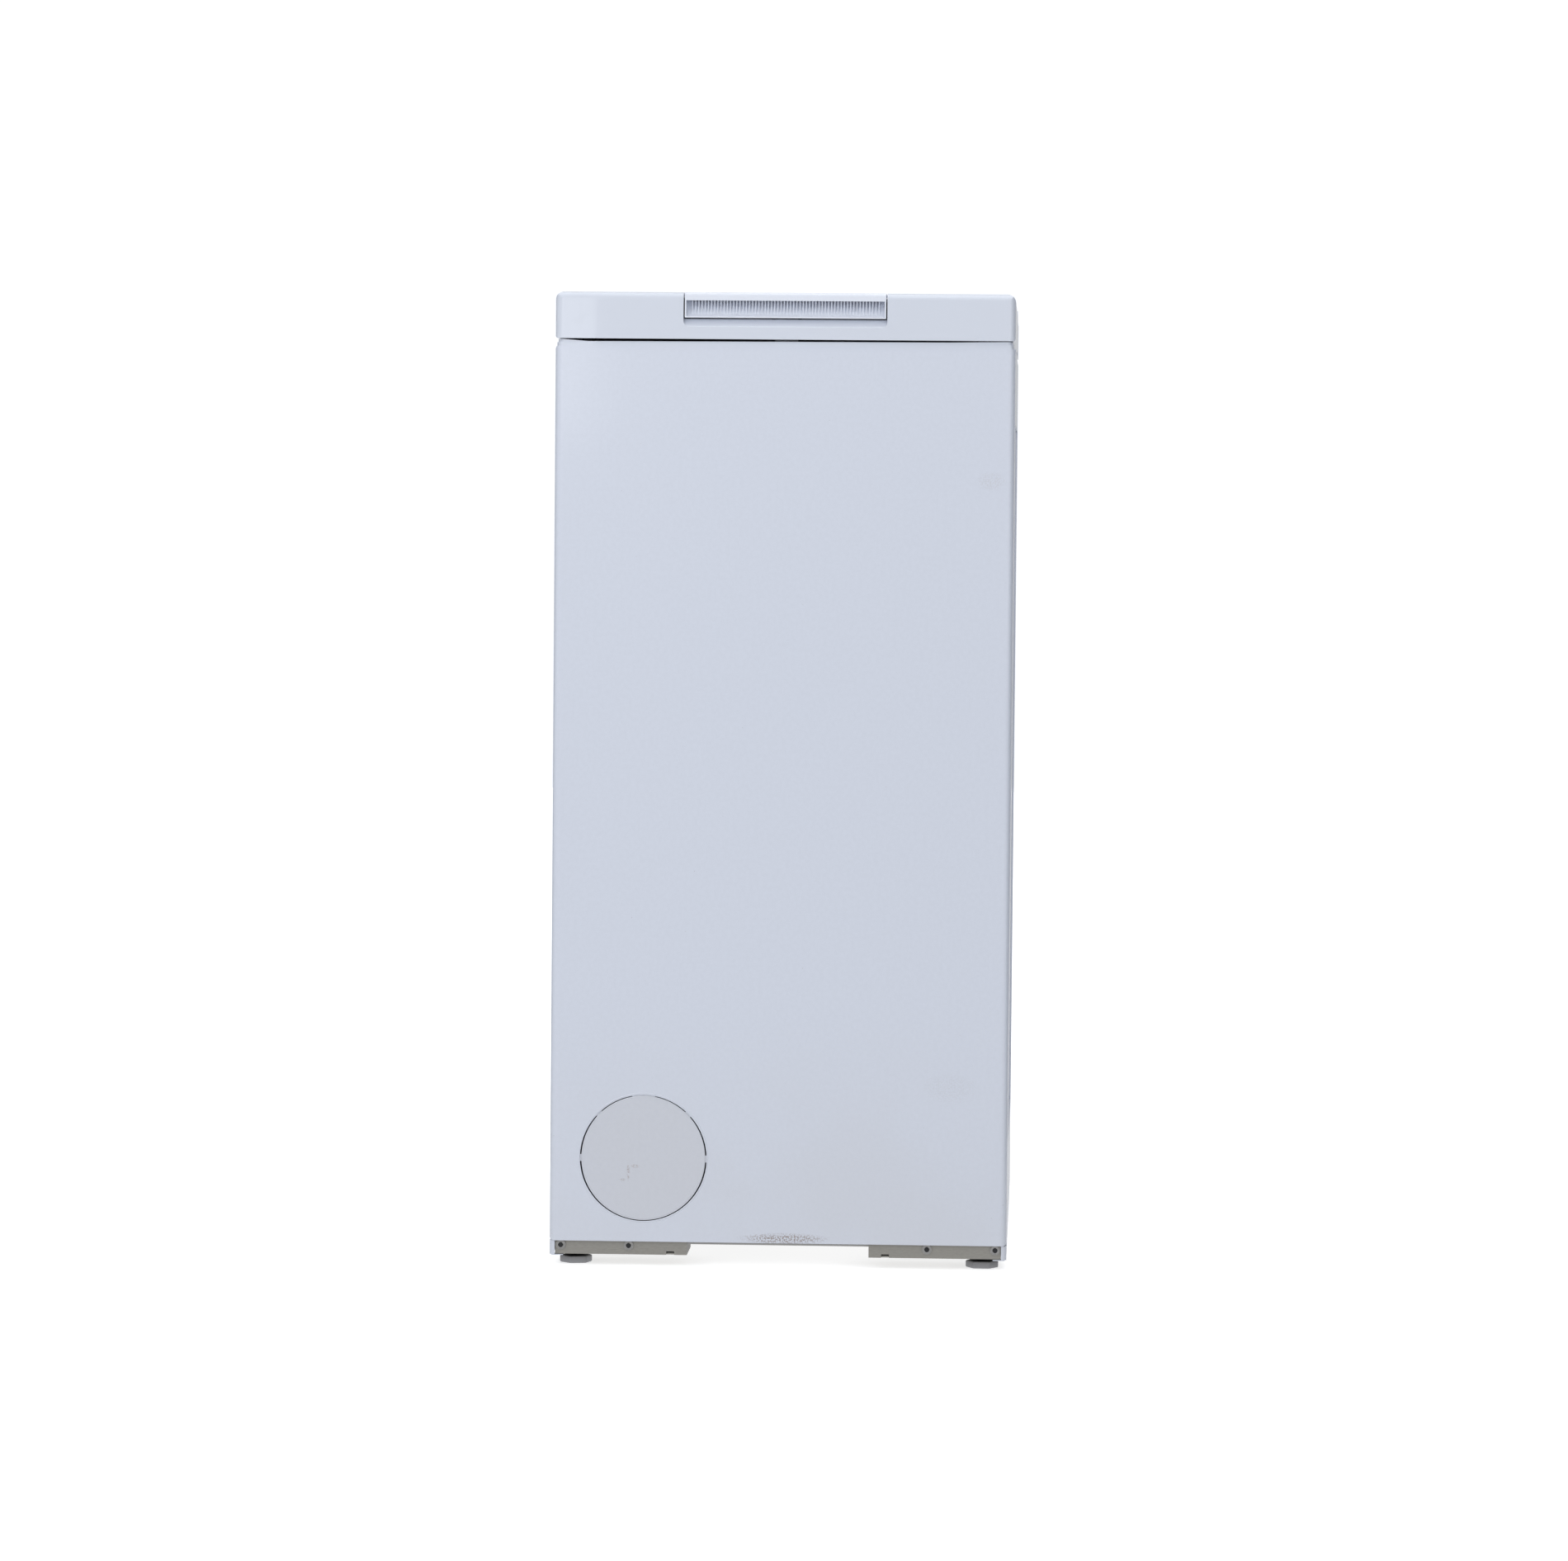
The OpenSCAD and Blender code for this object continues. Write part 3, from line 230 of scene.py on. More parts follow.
def marked_enamel(name, marks, colour):
    """Enamel with a few handling marks: each mark is a place, a size, a strength and a colour."""
    material = enamel(name, colour)
    g = Graph.__new__(Graph)
    g.material = material
    g.tree = material.node_tree
    g.shader = g.tree.nodes["Principled BSDF"]
    g.position = next(n for n in g.tree.nodes if n.type == "TEX_COORD").outputs["Object"]
    tone = g.shader.inputs["Base Color"].links[0].from_socket
    for place, size, strength, mark in marks:
        broken = g.ramp(g.noise(700.0, 2.0), 0.42, 0.62)
        factor = g.math("MULTIPLY", g.math("MULTIPLY", g.spot(place, size), broken), strength)
        tone = g.mix(factor, tone, mark)
    g.put(tone, g.shader.inputs["Base Color"])
    return material


def plastic(name, colour, rough, grain=0.06, spread=0.03, scale=700.0, **constants):
    """Moulded plastic: fine grain, slight unevenness in tone and gloss."""
    g = Graph(name)
    tone = g.mix(g.ramp(g.noise(6.0, 3.0), 0.3, 0.7), tint(colour, 1 - spread), tint(colour, 1 + spread))
    dirt_and_shade = g.ramp(g.noise(55.0, 5.0), 0.62, 0.80, 0.0, 0.10)
    tone = g.mix(dirt_and_shade, tone, tint(colour, 0.8))
    normal = g.bump(g.noise(scale, 2.0), grain, 0.0002)
    gloss = g.ramp(g.noise(18.0, 3.0), 0.3, 0.7, rough - 0.04, rough + 0.05)
    return g.finish(tone, gloss, normal, **constants)


def metal(name, colour, rough, stretch=(1.0, 1.0, 1.0), spread=0.12, scale=240.0, grain=0.05):
    """Rolled or turned metal with streaks along one axis and light staining."""
    g = Graph(name)
    streaks = g.noise(scale, 3.0, vector=g.scaled(stretch))
    tone = g.mix(g.ramp(streaks, 0.3, 0.7), tint(colour, 1 - spread), tint(colour, 1 + spread * 0.5))
    stain = g.ramp(g.noise(12.0, 4.0), 0.55, 0.8, 0.0, 0.25)
    tone = g.mix(stain, tone, tint(colour, 0.72))
    normal = g.bump(streaks, grain, 0.0002)
    gloss = g.math("ADD", g.ramp(streaks, 0.2, 0.8, rough - 0.06, rough + 0.08), stain)
    return g.finish(tone, gloss, normal, Metallic=1.0)


def spangled():
    """Zinc coated sheet: each crystal has its own grey and gloss."""
    g = Graph("galvanised")
    cells = g.add("ShaderNodeTexVoronoi")
    cells.inputs["Scale"].default_value = 75.0
    g.link(g.position, cells.inputs["Vector"])
    split = g.add("ShaderNodeSeparateXYZ")
    g.link(cells.outputs["Color"], split.inputs[0])
    tone = g.mix(split.outputs["X"], srgb(178, 182, 186), srgb(200, 203, 207))
    stain = g.ramp(g.noise(6.0, 4.0), 0.5, 0.8, 0.0, 0.2)
    tone = g.mix(stain, tone, srgb(150, 150, 148))
    gloss = g.ramp(split.outputs["Y"], 0.0, 1.0, 0.34, 0.50)
    return g.finish(tone, gloss, g.bump(g.noise(300.0, 2.0), 0.05, 0.0002), Metallic=0.9)


def rubber(name, colour, rough):
    """Moulded rubber with dust in its grain."""
    g = Graph(name)
    dust = g.ramp(g.noise(40.0, 5.0), 0.5, 0.8, 0.0, 0.25)
    tone = g.mix(dust, colour, tint(srgb(128, 126, 122), 0.8))
    gloss = g.ramp(g.noise(20.0, 3.0), 0.3, 0.7, rough - 0.08, rough + 0.1)
    return g.finish(tone, gloss, g.bump(g.noise(600.0, 3.0), 0.15, 0.0003))


def concrete():
    """Cast concrete with pits, for the counterweights."""
    g = Graph("weight")
    tone = g.mix(g.ramp(g.noise(60.0, 8.0, 0.7), 0.3, 0.7), srgb(138, 135, 129), srgb(176, 172, 165))
    pits = g.ramp(g.noise(210.0, 4.0), 0.62, 0.72)
    tone = g.mix(pits, tone, srgb(96, 93, 88))
    return g.finish(tone, 0.88, g.bump(g.noise(120.0, 8.0), 0.5, 0.001))


def board_green():
    """Circuit board: green lacquer over a fine grid of tracks."""
    g = Graph("board")
    grid = g.add("ShaderNodeTexBrick", offset=0.5)
    grid.inputs["Scale"].default_value = 160.0
    grid.inputs["Mortar Size"].default_value = 0.06
    g.link(g.position, grid.inputs["Vector"])
    tone = g.mix(grid.outputs["Fac"], srgb(24, 92, 58), srgb(46, 128, 84))
    return g.finish(tone, 0.4, g.bump(g.noise(300.0), 0.05, 0.0002))


# Marks on the front and on the cap: place, half size, strength and colour
MARKS = [
    ((0.180, FRONT, 0.688), (0.016, 0.02, 0.010), 0.22, srgb(176, 170, 166)),
    ((0.006, FRONT, 0.026), (0.045, 0.02, 0.006), 0.75, srgb(122, 98, 78)),
    ((0.150, FRONT, 0.160), (0.030, 0.02, 0.016), 0.12, srgb(170, 166, 160)),
]
CAP_MARKS = [
    ((-0.131, FRONT, 0.083), (0.0016, 0.02, 0.010), 0.55, srgb(150, 132, 128)),
    ((-0.125, FRONT, 0.088), (0.0050, 0.02, 0.0022), 0.45, srgb(150, 128, 122)),
    ((-0.136, FRONT, 0.076), (0.0040, 0.02, 0.0016), 0.40, srgb(158, 146, 142)),
]
MATERIALS = {
    "enamel": enamel("enamel_side"),
    "lid_plastic": plastic("lid_plastic", srgb(214, 219, 229), rough=0.34, grain=0.02, spread=0.008,
                           Coat_Weight=0.9, Coat_Roughness=0.03),
    "handle_plastic": plastic("handle_plastic", srgb(230, 234, 243), rough=0.34, grain=0.02,
                              spread=0.008, Coat_Weight=0.9, Coat_Roughness=0.05),
    "inner_plastic": plastic("inner_plastic", srgb(216, 220, 226), rough=0.42, grain=0.08, spread=0.02),
    "galvanised": spangled(),
    "bracket": metal("bracket", srgb(160, 157, 150), rough=0.5, stretch=(1.0, 1.0, 4.0), spread=0.10),
    "base": plastic("base", srgb(186, 184, 180), rough=0.5, grain=0.1, spread=0.04),
    "screw": metal("screw", srgb(168, 166, 163), rough=0.38, scale=600.0),
    "board": board_green(),
    "window": plastic("window", srgb(24, 27, 31), rough=0.12, grain=0.01, spread=0.02),
    "lock": plastic("lock", srgb(228, 228, 220), rough=0.45),
    "key": plastic("key", srgb(196, 199, 206), rough=0.3),
    "knob": plastic("knob", srgb(204, 207, 214), rough=0.28),
    "pump": plastic("pump", srgb(58, 60, 64), rough=0.5, grain=0.12, spread=0.06),
    "filter": plastic("filter", srgb(226, 226, 218), rough=0.4),
    "valve": plastic("valve", srgb(230, 230, 234), rough=0.4),
    "rubber": rubber("rubber", srgb(30, 30, 32), rough=0.6),
    "bellows": rubber("bellows", srgb(128, 131, 136), rough=0.5),
    "damper": plastic("damper", srgb(186, 188, 190), rough=0.45, grain=0.1),
    "spring": metal("spring", srgb(150, 152, 156), rough=0.35),
    "tub": plastic("tub", srgb(206, 208, 204), rough=0.5, grain=0.2, spread=0.03, scale=350.0),
    "stainless": metal("stainless", srgb(214, 214, 212), rough=0.24, stretch=(0.06, 1.0, 1.0),
                       spread=0.06, scale=500.0, grain=0.03),
    "machined": metal("machined", srgb(196, 196, 198), rough=0.25, stretch=(0.2, 1.0, 1.0),
                      spread=0.08, scale=400.0),
    "weight": concrete(),
    "heater": metal("heater", srgb(142, 126, 108), rough=0.45, spread=0.3, scale=90.0),
    "motor": plastic("motor", srgb(72, 74, 80), rough=0.45, grain=0.2, spread=0.08),
    "pulley": metal("pulley", srgb(178, 180, 184), rough=0.4, scale=300.0, grain=0.15),
    "paddle": plastic("paddle", srgb(222, 226, 230), rough=0.35),
    "siphon": plastic("siphon", srgb(60, 110, 184), rough=0.3),
    "latch": plastic("latch", srgb(48, 88, 150), rough=0.3),
    "foot": plastic("foot", srgb(152, 151, 152), rough=0.45, grain=0.15, spread=0.06),
    "front": marked_enamel("enamel_front", MARKS, srgb(214, 219, 230)),
    "cap": marked_enamel("enamel_cap", CAP_MARKS, srgb(206, 209, 217)),
    "dark": plastic("dark", srgb(22, 22, 24), rough=0.55, grain=0.15, spread=0.1),
    "ink": plastic("ink", srgb(84, 88, 96), rough=0.5, grain=0.05, spread=0.03),
    "light": plastic("light", srgb(206, 232, 214), rough=0.2, grain=0.02, spread=0.02),
}


def dress_frame():
    """Gives each carried-over node its material."""
    slots = {part["node"]: part["material_slot"] for part in frame["record"]["subparts"]}
    for name, obj in NODES.items():
        obj.data.materials.clear()
        obj.data.materials.append(MATERIALS[slots[name]])
    NODES["front_panel"].data.materials[0] = MATERIALS["front"]
    NODES["service_cap"].data.materials[0] = MATERIALS["cap"]


# ---------------------------------------------------------------- mesh helpers
def piece(name, bm, body, slot, material=None, stands_for=(), angle=35.0, extra=None):
    """Turns built faces into an object that rides on a body."""
    mesh = bpy.data.meshes.new(name)
    bmesh.ops.recalc_face_normals(bm, faces=bm.faces)
    bm.to_mesh(mesh)
    bm.free()
    mesh.materials.append(MATERIALS[material or slot])
    if extra:
        mesh.materials.append(MATERIALS[extra])
    obj = bpy.data.objects.new(name, mesh)
    bpy.context.scene.collection.objects.link(obj)
    mesh.polygons.foreach_set("use_smooth", [True] * len(mesh.polygons))
    mesh.set_sharp_from_angle(angle=math.radians(angle))
    if body:
        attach(obj, body)
    if stands_for:
        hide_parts(*stands_for)
    return obj


def loft(bm, rings):
    """Joins rings of points, each with the same number of points, and caps both ends."""
    rows = [[bm.verts.new(p) for p in ring] for ring in rings]
    count = len(rows[0])
    for a, b in zip(rows, rows[1:]):
        for i in range(count):
            j = (i + 1) % count
            bm.faces.new((a[i], a[j], b[j], b[i]))
    bm.faces.new(rows[0][::-1])
    bm.faces.new(rows[-1])


def loop_loft(bm, rings):
    """Joins rings and closes the last one back to the first, as for a ring with a hollow middle."""
    rows = [[bm.verts.new(p) for p in ring] for ring in rings]
    count = len(rows[0])
    for a, b in zip(rows, rows[1:] + rows[:1]):
        for i in range(count):
            j = (i + 1) % count
            bm.faces.new((a[i], a[j], b[j], b[i]))


# For each axis: the directions of 0 and 90 degrees, and the way heights are counted
AXES = {"x": (Vector((0, 1, 0)), Vector((0, 0, 1)), Vector((1, 0, 0))),
        "y": (Vector((1, 0, 0)), Vector((0, 0, 1)), Vector((0, -1, 0))),
        "z": (Vector((1, 0, 0)), Vector((0, 1, 0)), Vector((0, 0, 1)))}


def circle(centre_point, axis, radius, height, steps):
    """A ring of points; radius is a number or a function of the angle."""
    u, v, w = AXES[axis]
    ring = []
    for i in range(steps):
        a = 2 * math.pi * i / steps
        r = radius(a) if callable(radius) else radius
        ring.append(Vector(centre_point) + (u * math.cos(a) + v * math.sin(a)) * r + w * height)
    return ring


def lathe(bm, centre_point, axis, profile, steps=48, hollow=False):
    """Turns a profile of (radius, height) pairs around an axis."""
    rings = [circle(centre_point, axis, r, h, steps) for r, h in profile]
    if hollow:
        loop_loft(bm, rings)
    else:
        loft(bm, rings)


def sweep(bm, path, radius, sides=10, closed=False):
    """A round bar along a path; radius is a number or one number for each point."""
    path = [Vector(p) for p in path]
    count = len(path)
    rings = []
    side = None
    for i, p in enumerate(path):
        before = path[i - 1] if i or closed else path[i]
        after = path[(i + 1) % count] if i < count - 1 or closed else path[i]
        ahead = (after - before).normalized()
        if side is None:
            side = ahead.orthogonal().normalized()
        side = (side - ahead * side.dot(ahead)).normalized()
        up = ahead.cross(side)
        r = radius[i] if isinstance(radius, (list, tuple)) else radius
        rings.append([p + (side * math.cos(a) + up * math.sin(a)) * r
                      for a in (2 * math.pi * k / sides for k in range(sides))])
    if closed:
        loop_loft(bm, rings)
    else:
        loft(bm, rings)


def block(bm, low, high, bevel, segments):
    """A box with rounded edges."""
    low, high = Vector(low), Vector(high)
    made = bmesh.ops.create_cube(bm, size=1.0)
    size = high - low
    for vert in made["verts"]:
        vert.co = Vector(((vert.co[k] + 0.5) * size[k] + low[k]) for k in range(3))
    edges = {edge for vert in made["verts"] for edge in vert.link_edges}
    bmesh.ops.bevel(bm, geom=list(edges), offset=bevel, segments=segments, affect="EDGES", profile=0.6)


def outline(cx, cy, width, depth, corner, steps=6):
    """Points of a rounded rectangle in plan."""
    points = []
    for k, (sx, sy) in enumerate(((1, 1), (-1, 1), (-1, -1), (1, -1))):
        for i in range(steps + 1):
            a = math.pi / 2 * (k + i / steps)
            points.append((cx + sx * (width / 2 - corner) + corner * math.cos(a),
                           cy + sy * (depth / 2 - corner) + corner * math.sin(a)))
    return points


def carved(name, node, body, slot, cutters, material=None, angle=35.0):
    """A copy of a CAD node with holes or grooves cut in it, which stands for the node."""
    source = NODES[node]
    mesh = bpy.data.meshes.new(name + "_cutters")
    bmesh.ops.recalc_face_normals(cutters, faces=cutters.faces)
    cutters.to_mesh(mesh)
    cutters.free()
    tool = bpy.data.objects.new(name + "_cutters", mesh)
    bpy.context.scene.collection.objects.link(tool)
    obj = bpy.data.objects.new(name, source.data.copy())
    bpy.context.scene.collection.objects.link(obj)
    cut = obj.modifiers.new("cut", "BOOLEAN")
    cut.operation = "DIFFERENCE"
    cut.object = tool
    cut.solver = "MANIFOLD"
    graph = bpy.context.evaluated_depsgraph_get()
    result = bpy.data.meshes.new_from_object(obj.evaluated_get(graph))
    obj.modifiers.clear()
    obj.data = result
    bpy.data.objects.remove(tool)
    result.materials.clear()
    result.materials.append(MATERIALS[material or slot])
    result.polygons.foreach_set("material_index", [0] * len(result.polygons))
    result.polygons.foreach_set("use_smooth", [True] * len(result.polygons))
    result.set_sharp_from_angle(angle=math.radians(angle))
    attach(obj, body)
    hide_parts(node)
    return obj


# ---------------------------------------------------------------- front: handle, cap, feet, screws
def handle_ribs():
    """Grip ribs on the hollow ramp of the finger pocket, deep under the lip and fading to its foot."""
    bm = bmesh.new()
    low_z = HIGH.z - 22 * MM
    # The ramp's outline: mm behind the front face and above the handle's foot
    ramp = [(4.5, 3.2), (8.5, 7.0), (12.0, 11.5), (13.5, 15.0)]
    roof = 14.98
    deepest = 6.6
    pitch, half_foot, half_crest, count, steps = 2.75 * MM, 0.70 * MM, 0.45 * MM, 60, 12
    for i in range(count):
        x = (i - (count - 1) / 2) * pitch
        rings = []
        for k in range(steps + 1):
            t = k / steps * (len(ramp) - 1)
            n = min(int(t), len(ramp) - 2)
            back, up = (ramp[n][c] + (ramp[n + 1][c] - ramp[n][c]) * (t - n) for c in (0, 1))
            depth = deepest * (k / steps) ** 1.2 + 0.03
            wall = (FRONT + (back + 0.3) * MM, low_z + min(up, roof) * MM)
            crest = (FRONT + (back - depth * 0.85) * MM, low_z + min(up + depth * 0.25, roof) * MM)
            rings.append([(x - half_foot, *wall), (x - half_crest, *crest),
                          (x + half_crest, *crest), (x + half_foot, *wall)])
        loft(bm, rings)
    piece("handle_ribs", bm, "handle", "handle_plastic", angle=50)
    # Thin plates in rubber black that fill the gaps between the handle's ends and the lid: painted shade
    # standing in for the shadow deep in these gaps.
    bm = bmesh.new()
    edge = corners("handle")[1].x
    for side in (-1, 1):
        x = side * (edge + 0.42 * MM)
        block(bm, (x - 0.4 * MM, FRONT + 1.6 * MM, HIGH.z - 20.5 * MM),
              (x + 0.4 * MM, FRONT + 12 * MM, HIGH.z - 7 * MM), 0.00015, 2)
    piece("handle_gap_shade", bm, "handle", "rubber", angle=40)


def cap_details():
    """Rolled edges of the panel's round hole and of the cap in it."""
    bm = bmesh.new()
    hole = (CAP.x, FRONT, CAP.z)
    profile = [(55.6, 1.0), (55.55, 0.2), (55.7, -0.15), (56.1, -0.32), (56.6, -0.22), (57.0, 0.05),
               (57.0, 1.0)]
    lathe(bm, hole, "y", [(r * MM, -h * MM) for r, h in profile], 128, hollow=True)
    piece("cap_hole_roll", bm, "cabinet", "enamel", "front", angle=60)
    bm = bmesh.new()
    profile = [(53.2, -0.15), (53.9, -0.12), (54.15, 0.1), (54.15, 1.6), (53.2, 1.6)]
    lathe(bm, hole, "y", [(r * MM, -(h + 0.2) * MM) for r, h in profile], 128, hollow=True)
    piece("cap_edge", bm, "service_cap", "enamel", "cap", angle=60)


def hexagon(across, turn, soften):
    """Radius of a hexagon with blunt corners, as a function of the angle."""
    flat = across / 2 * math.cos(math.pi / 6)

    def radius(a):
        step = (a - turn + math.pi / 6) % (math.pi / 3) - math.pi / 6
        return min(flat / math.cos(math.pi / 6 - abs(step)), across / 2 * soften)

    return radius


def threaded(bm, centre_point, axis, major, depth, pitch, start, end, sides=20):
    """A screw thread as one helical surface."""
    steps = int((end - start) / pitch * 5)
    rings = []
    for k in range(steps + 1):
        h = start + (end - start) * k / steps

        def radius(a, h=h):
            phase = (h / pitch - a / (2 * math.pi)) % 1.0
            return major - depth * abs(2 * phase - 1) ** 0.8

        rings.append(circle(centre_point, axis, radius, h, sides))
    loft(bm, rings)


def feet():
    """Hexagonal levelling feet: blunt pad, coned top with a boss in black as painted shade under the
    bracket, threaded stud.
    """
    # How far each foot is screwed round, in degrees
    turns = {"front_left_foot": 13, "front_right_foot": -2, "rear_left_foot": 20, "rear_right_foot": 40}
    for node, turn in turns.items():
        place = centre(node)
        base = (place.x, place.y, 0)
        bm = bmesh.new()
        # Share of the pad's width at each height, then radius of the cone and boss at each height
        hexes = [(0.93, 0), (0.97, 0.5), (0.985, 1.1), (0.985, 5.0), (0.965, 5.7), (0.93, 6.0)]
        cone = [(11.6, 6.15), (10.6, 6.4), (7.2, 7.6), (6.2, 8.0), (5.6, 8.1), (5.2, 7.5), (4.2, 7.4)]
        rings = [circle(base, "z", hexagon(29.5 * MM * s, math.radians(turn), 0.985), h * MM, 72)
                 for s, h in hexes]
        rings += [circle(base, "z", r * MM, h * MM, 72) for r, h in cone]
        loft(bm, rings)
        # Faces above the pad's sides take the black material: painted shade for the shadow that falls on
        # the foot's top under the bracket.
        for face in bm.faces:
            if face.calc_center_median().z > 5.9 * MM:
                face.material_index = 1
        piece(node + "_pad", bm, node, "foot", None, (node,), 40, "dark")
        bm = bmesh.new()
        threaded(bm, base, "z", 4.0 * MM, 0.55 * MM, 1.25 * MM, 7.0 * MM, 42 * MM)
        piece(node + "_stud", bm, node, "screw", angle=50)


# Each case screw's head: its place and the way it faces, -1 to the front and 1 to the back
SCREWS = [((x * MM, -297.4 * MM, 18 * MM), -1) for x in (-190, -130.5, 130.5, 190)]
SCREWS += [((x * MM, 272.4 * MM, z * MM), 1) for x in (-124, 124) for z in (236, 604)]


def screws():
    """Cross recesses cut in the screw heads, with a black piece at their foot as painted shade, and a rim
    round each head.
    """
    bm = bmesh.new()
    for place, way in SCREWS:
        for wide, tall in ((2.6, 0.85), (0.85, 2.6)):
            rings = []
            for scale, depth in ((1.0, 1.0), (1.0, -0.2), (0.4, -1.3)):
                rings.append([(place[0] + sx * wide * MM * scale, place[1] + way * depth * MM,
                               place[2] + sz * tall * MM * scale)
                              for sx, sz in ((-1, -1), (1, -1), (1, 1), (-1, 1))])
            bars = bmesh.new()
            loft(bars, rings)
            mesh = bpy.data.meshes.new("bar")
            bmesh.ops.recalc_face_normals(bars, faces=bars.faces)
            bars.to_mesh(mesh)
            bars.free()
            bm.from_mesh(mesh)
            bpy.data.meshes.remove(mesh)
    carved("case_screws_cross", "case_screws", "cabinet", "screw", bm, angle=40)
    # A small black piece sunk in each cross recess: painted shade at the recess's foot, where the real
    # recess is only in shadow.
    bm = bmesh.new()
    for place, way in SCREWS:
        dirt_and_shade = [(2.2, -0.95), (1.9, -0.6), (0.5, -0.9)]
        lathe(bm, place, "y", [(r * MM, h * way * MM) for r, h in dirt_and_shade], 12)
    piece("screw_recess_shade", bm, "cabinet", "screw", "dark")
    bm = bmesh.new()
    for place, way in SCREWS:
        ring = [(3.3, 0.1), (3.45, -0.22), (3.8, -0.22), (3.95, 0.1)]
        lathe(bm, place, "y", [(r * MM, h * way * MM) for r, h in ring], 40, hollow=True)
    piece("screw_rims", bm, "cabinet", "screw", angle=40)


# ---------------------------------------------------------------- suspension and hoses
def springs():
    """Close-wound suspension springs, one in each corner of the springs' box."""
    bm = bmesh.new()
    low, high = corners("suspension_springs")
    wire, coil_r, turns, sides = 1.5 * MM, 9.4 * MM, 22, 14
    bottom, top = low.z + wire, high.z - wire
    for x in (low.x + 11 * MM, high.x - 11 * MM):
        for y in (low.y + 11 * MM, high.y - 11 * MM):
            path = []
            steps = turns * sides
            for i in range(steps + 1):
                a = 2 * math.pi * i / sides
                path.append((x + coil_r * math.cos(a), y + coil_r * math.sin(a),
                             bottom + (top - bottom) * i / steps))
            sweep(bm, path, wire, 8)
    obj = piece("suspension_coils", bm, None, "spring", None, ("suspension_springs",), 60)
    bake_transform(obj)


def bellows():
    """Folded rubber sleeve between the tub's neck and the top frame's collar."""
    bm = bmesh.new()
    low, high = corners("tub_bellows")
    middle = (low + high) / 2
    width, depth = high.x - low.x, high.y - low.y
    steps, folds, wall = 36, 3, 2.0 * MM
    lip = 5 * MM

    def swell(t):
        return 5.5 * MM * (0.5 - 0.5 * math.cos(2 * math.pi * folds * t))

    outer, inner = [], []
    for k in range(steps + 1):
        t = k / steps
        z = low.z + lip + (high.z - low.z - 2 * lip) * t
        outer.append((swell(t), z))
        inner.append((swell(t) - wall, z))
    profile = [(0.0, low.z)] + outer + [(0.0, high.z), (-wall * 1.5, high.z)]
    profile += inner[::-1] + [(-wall * 1.5, low.z)]
    rings = []
    for grow, z in profile:
        ring = outline(middle.x, middle.y, width + 2 * grow, depth + 2 * grow, 29 * MM + grow, 8)
        rings.append([(x, y, z) for x, y in ring])
    loop_loft(bm, rings)
    obj = piece("bellows_folds", bm, None, "bellows", None, ("tub_bellows",), 70)
    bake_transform(obj)


def hose():
    """Ribbed rubber hose from the sump to the pump."""
    bm = bmesh.new()
    low, high = corners("sump_hose")
    outer = 20 * MM
    x = (low.x + high.x) / 2
    upright_y = high.y - outer
    level_z = low.z + outer
    turn = 40 * MM
    path = [(x, low.y + (upright_y - turn - low.y) * k / 8, level_z) for k in range(8)]
    path += [(x, upright_y - turn + turn * math.sin(a), level_z + turn - turn * math.cos(a))
             for a in (math.pi / 2 * k / 28 for k in range(29))]
    path += [(x, upright_y, level_z + turn + (high.z - level_z - turn) * k / 16) for k in range(1, 17)]
    radii = []
    for i in range(len(path)):
        rib = 0.5 + 0.5 * math.cos(math.pi * i)
        radii.append((17.6 + 2.2 * rib) * MM if 8 < i < len(path) - 8 else 19.8 * MM)
    sweep(bm, path, radii, 28)
    obj = piece("sump_hose_ribbed", bm, None, "rubber", None, ("sump_hose",), 60)
    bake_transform(obj)


# ---------------------------------------------------------------- drum
# Radius of the drum's drain holes
HOLE_R = 1.8 * MM


def hole_cutter(bm, x, angle, low, high, sides):
    """A short pin across the drum's sheet, pointing to its axis; the angle is from straight up."""
    out = Vector((0, math.sin(angle), math.cos(angle)))
    along = Vector((1, 0, 0))
    side = out.cross(along)
    foot = Vector((x, 0, DRUM_AXIS_Z))
    rings = []
    for reach in (DRUM_R - low, DRUM_R + high):
        rings.append([foot + out * reach + (along * math.cos(a) + side * math.sin(a)) * HOLE_R
                      for a in (2 * math.pi * k / sides for k in range(sides))])
    loft(bm, rings)


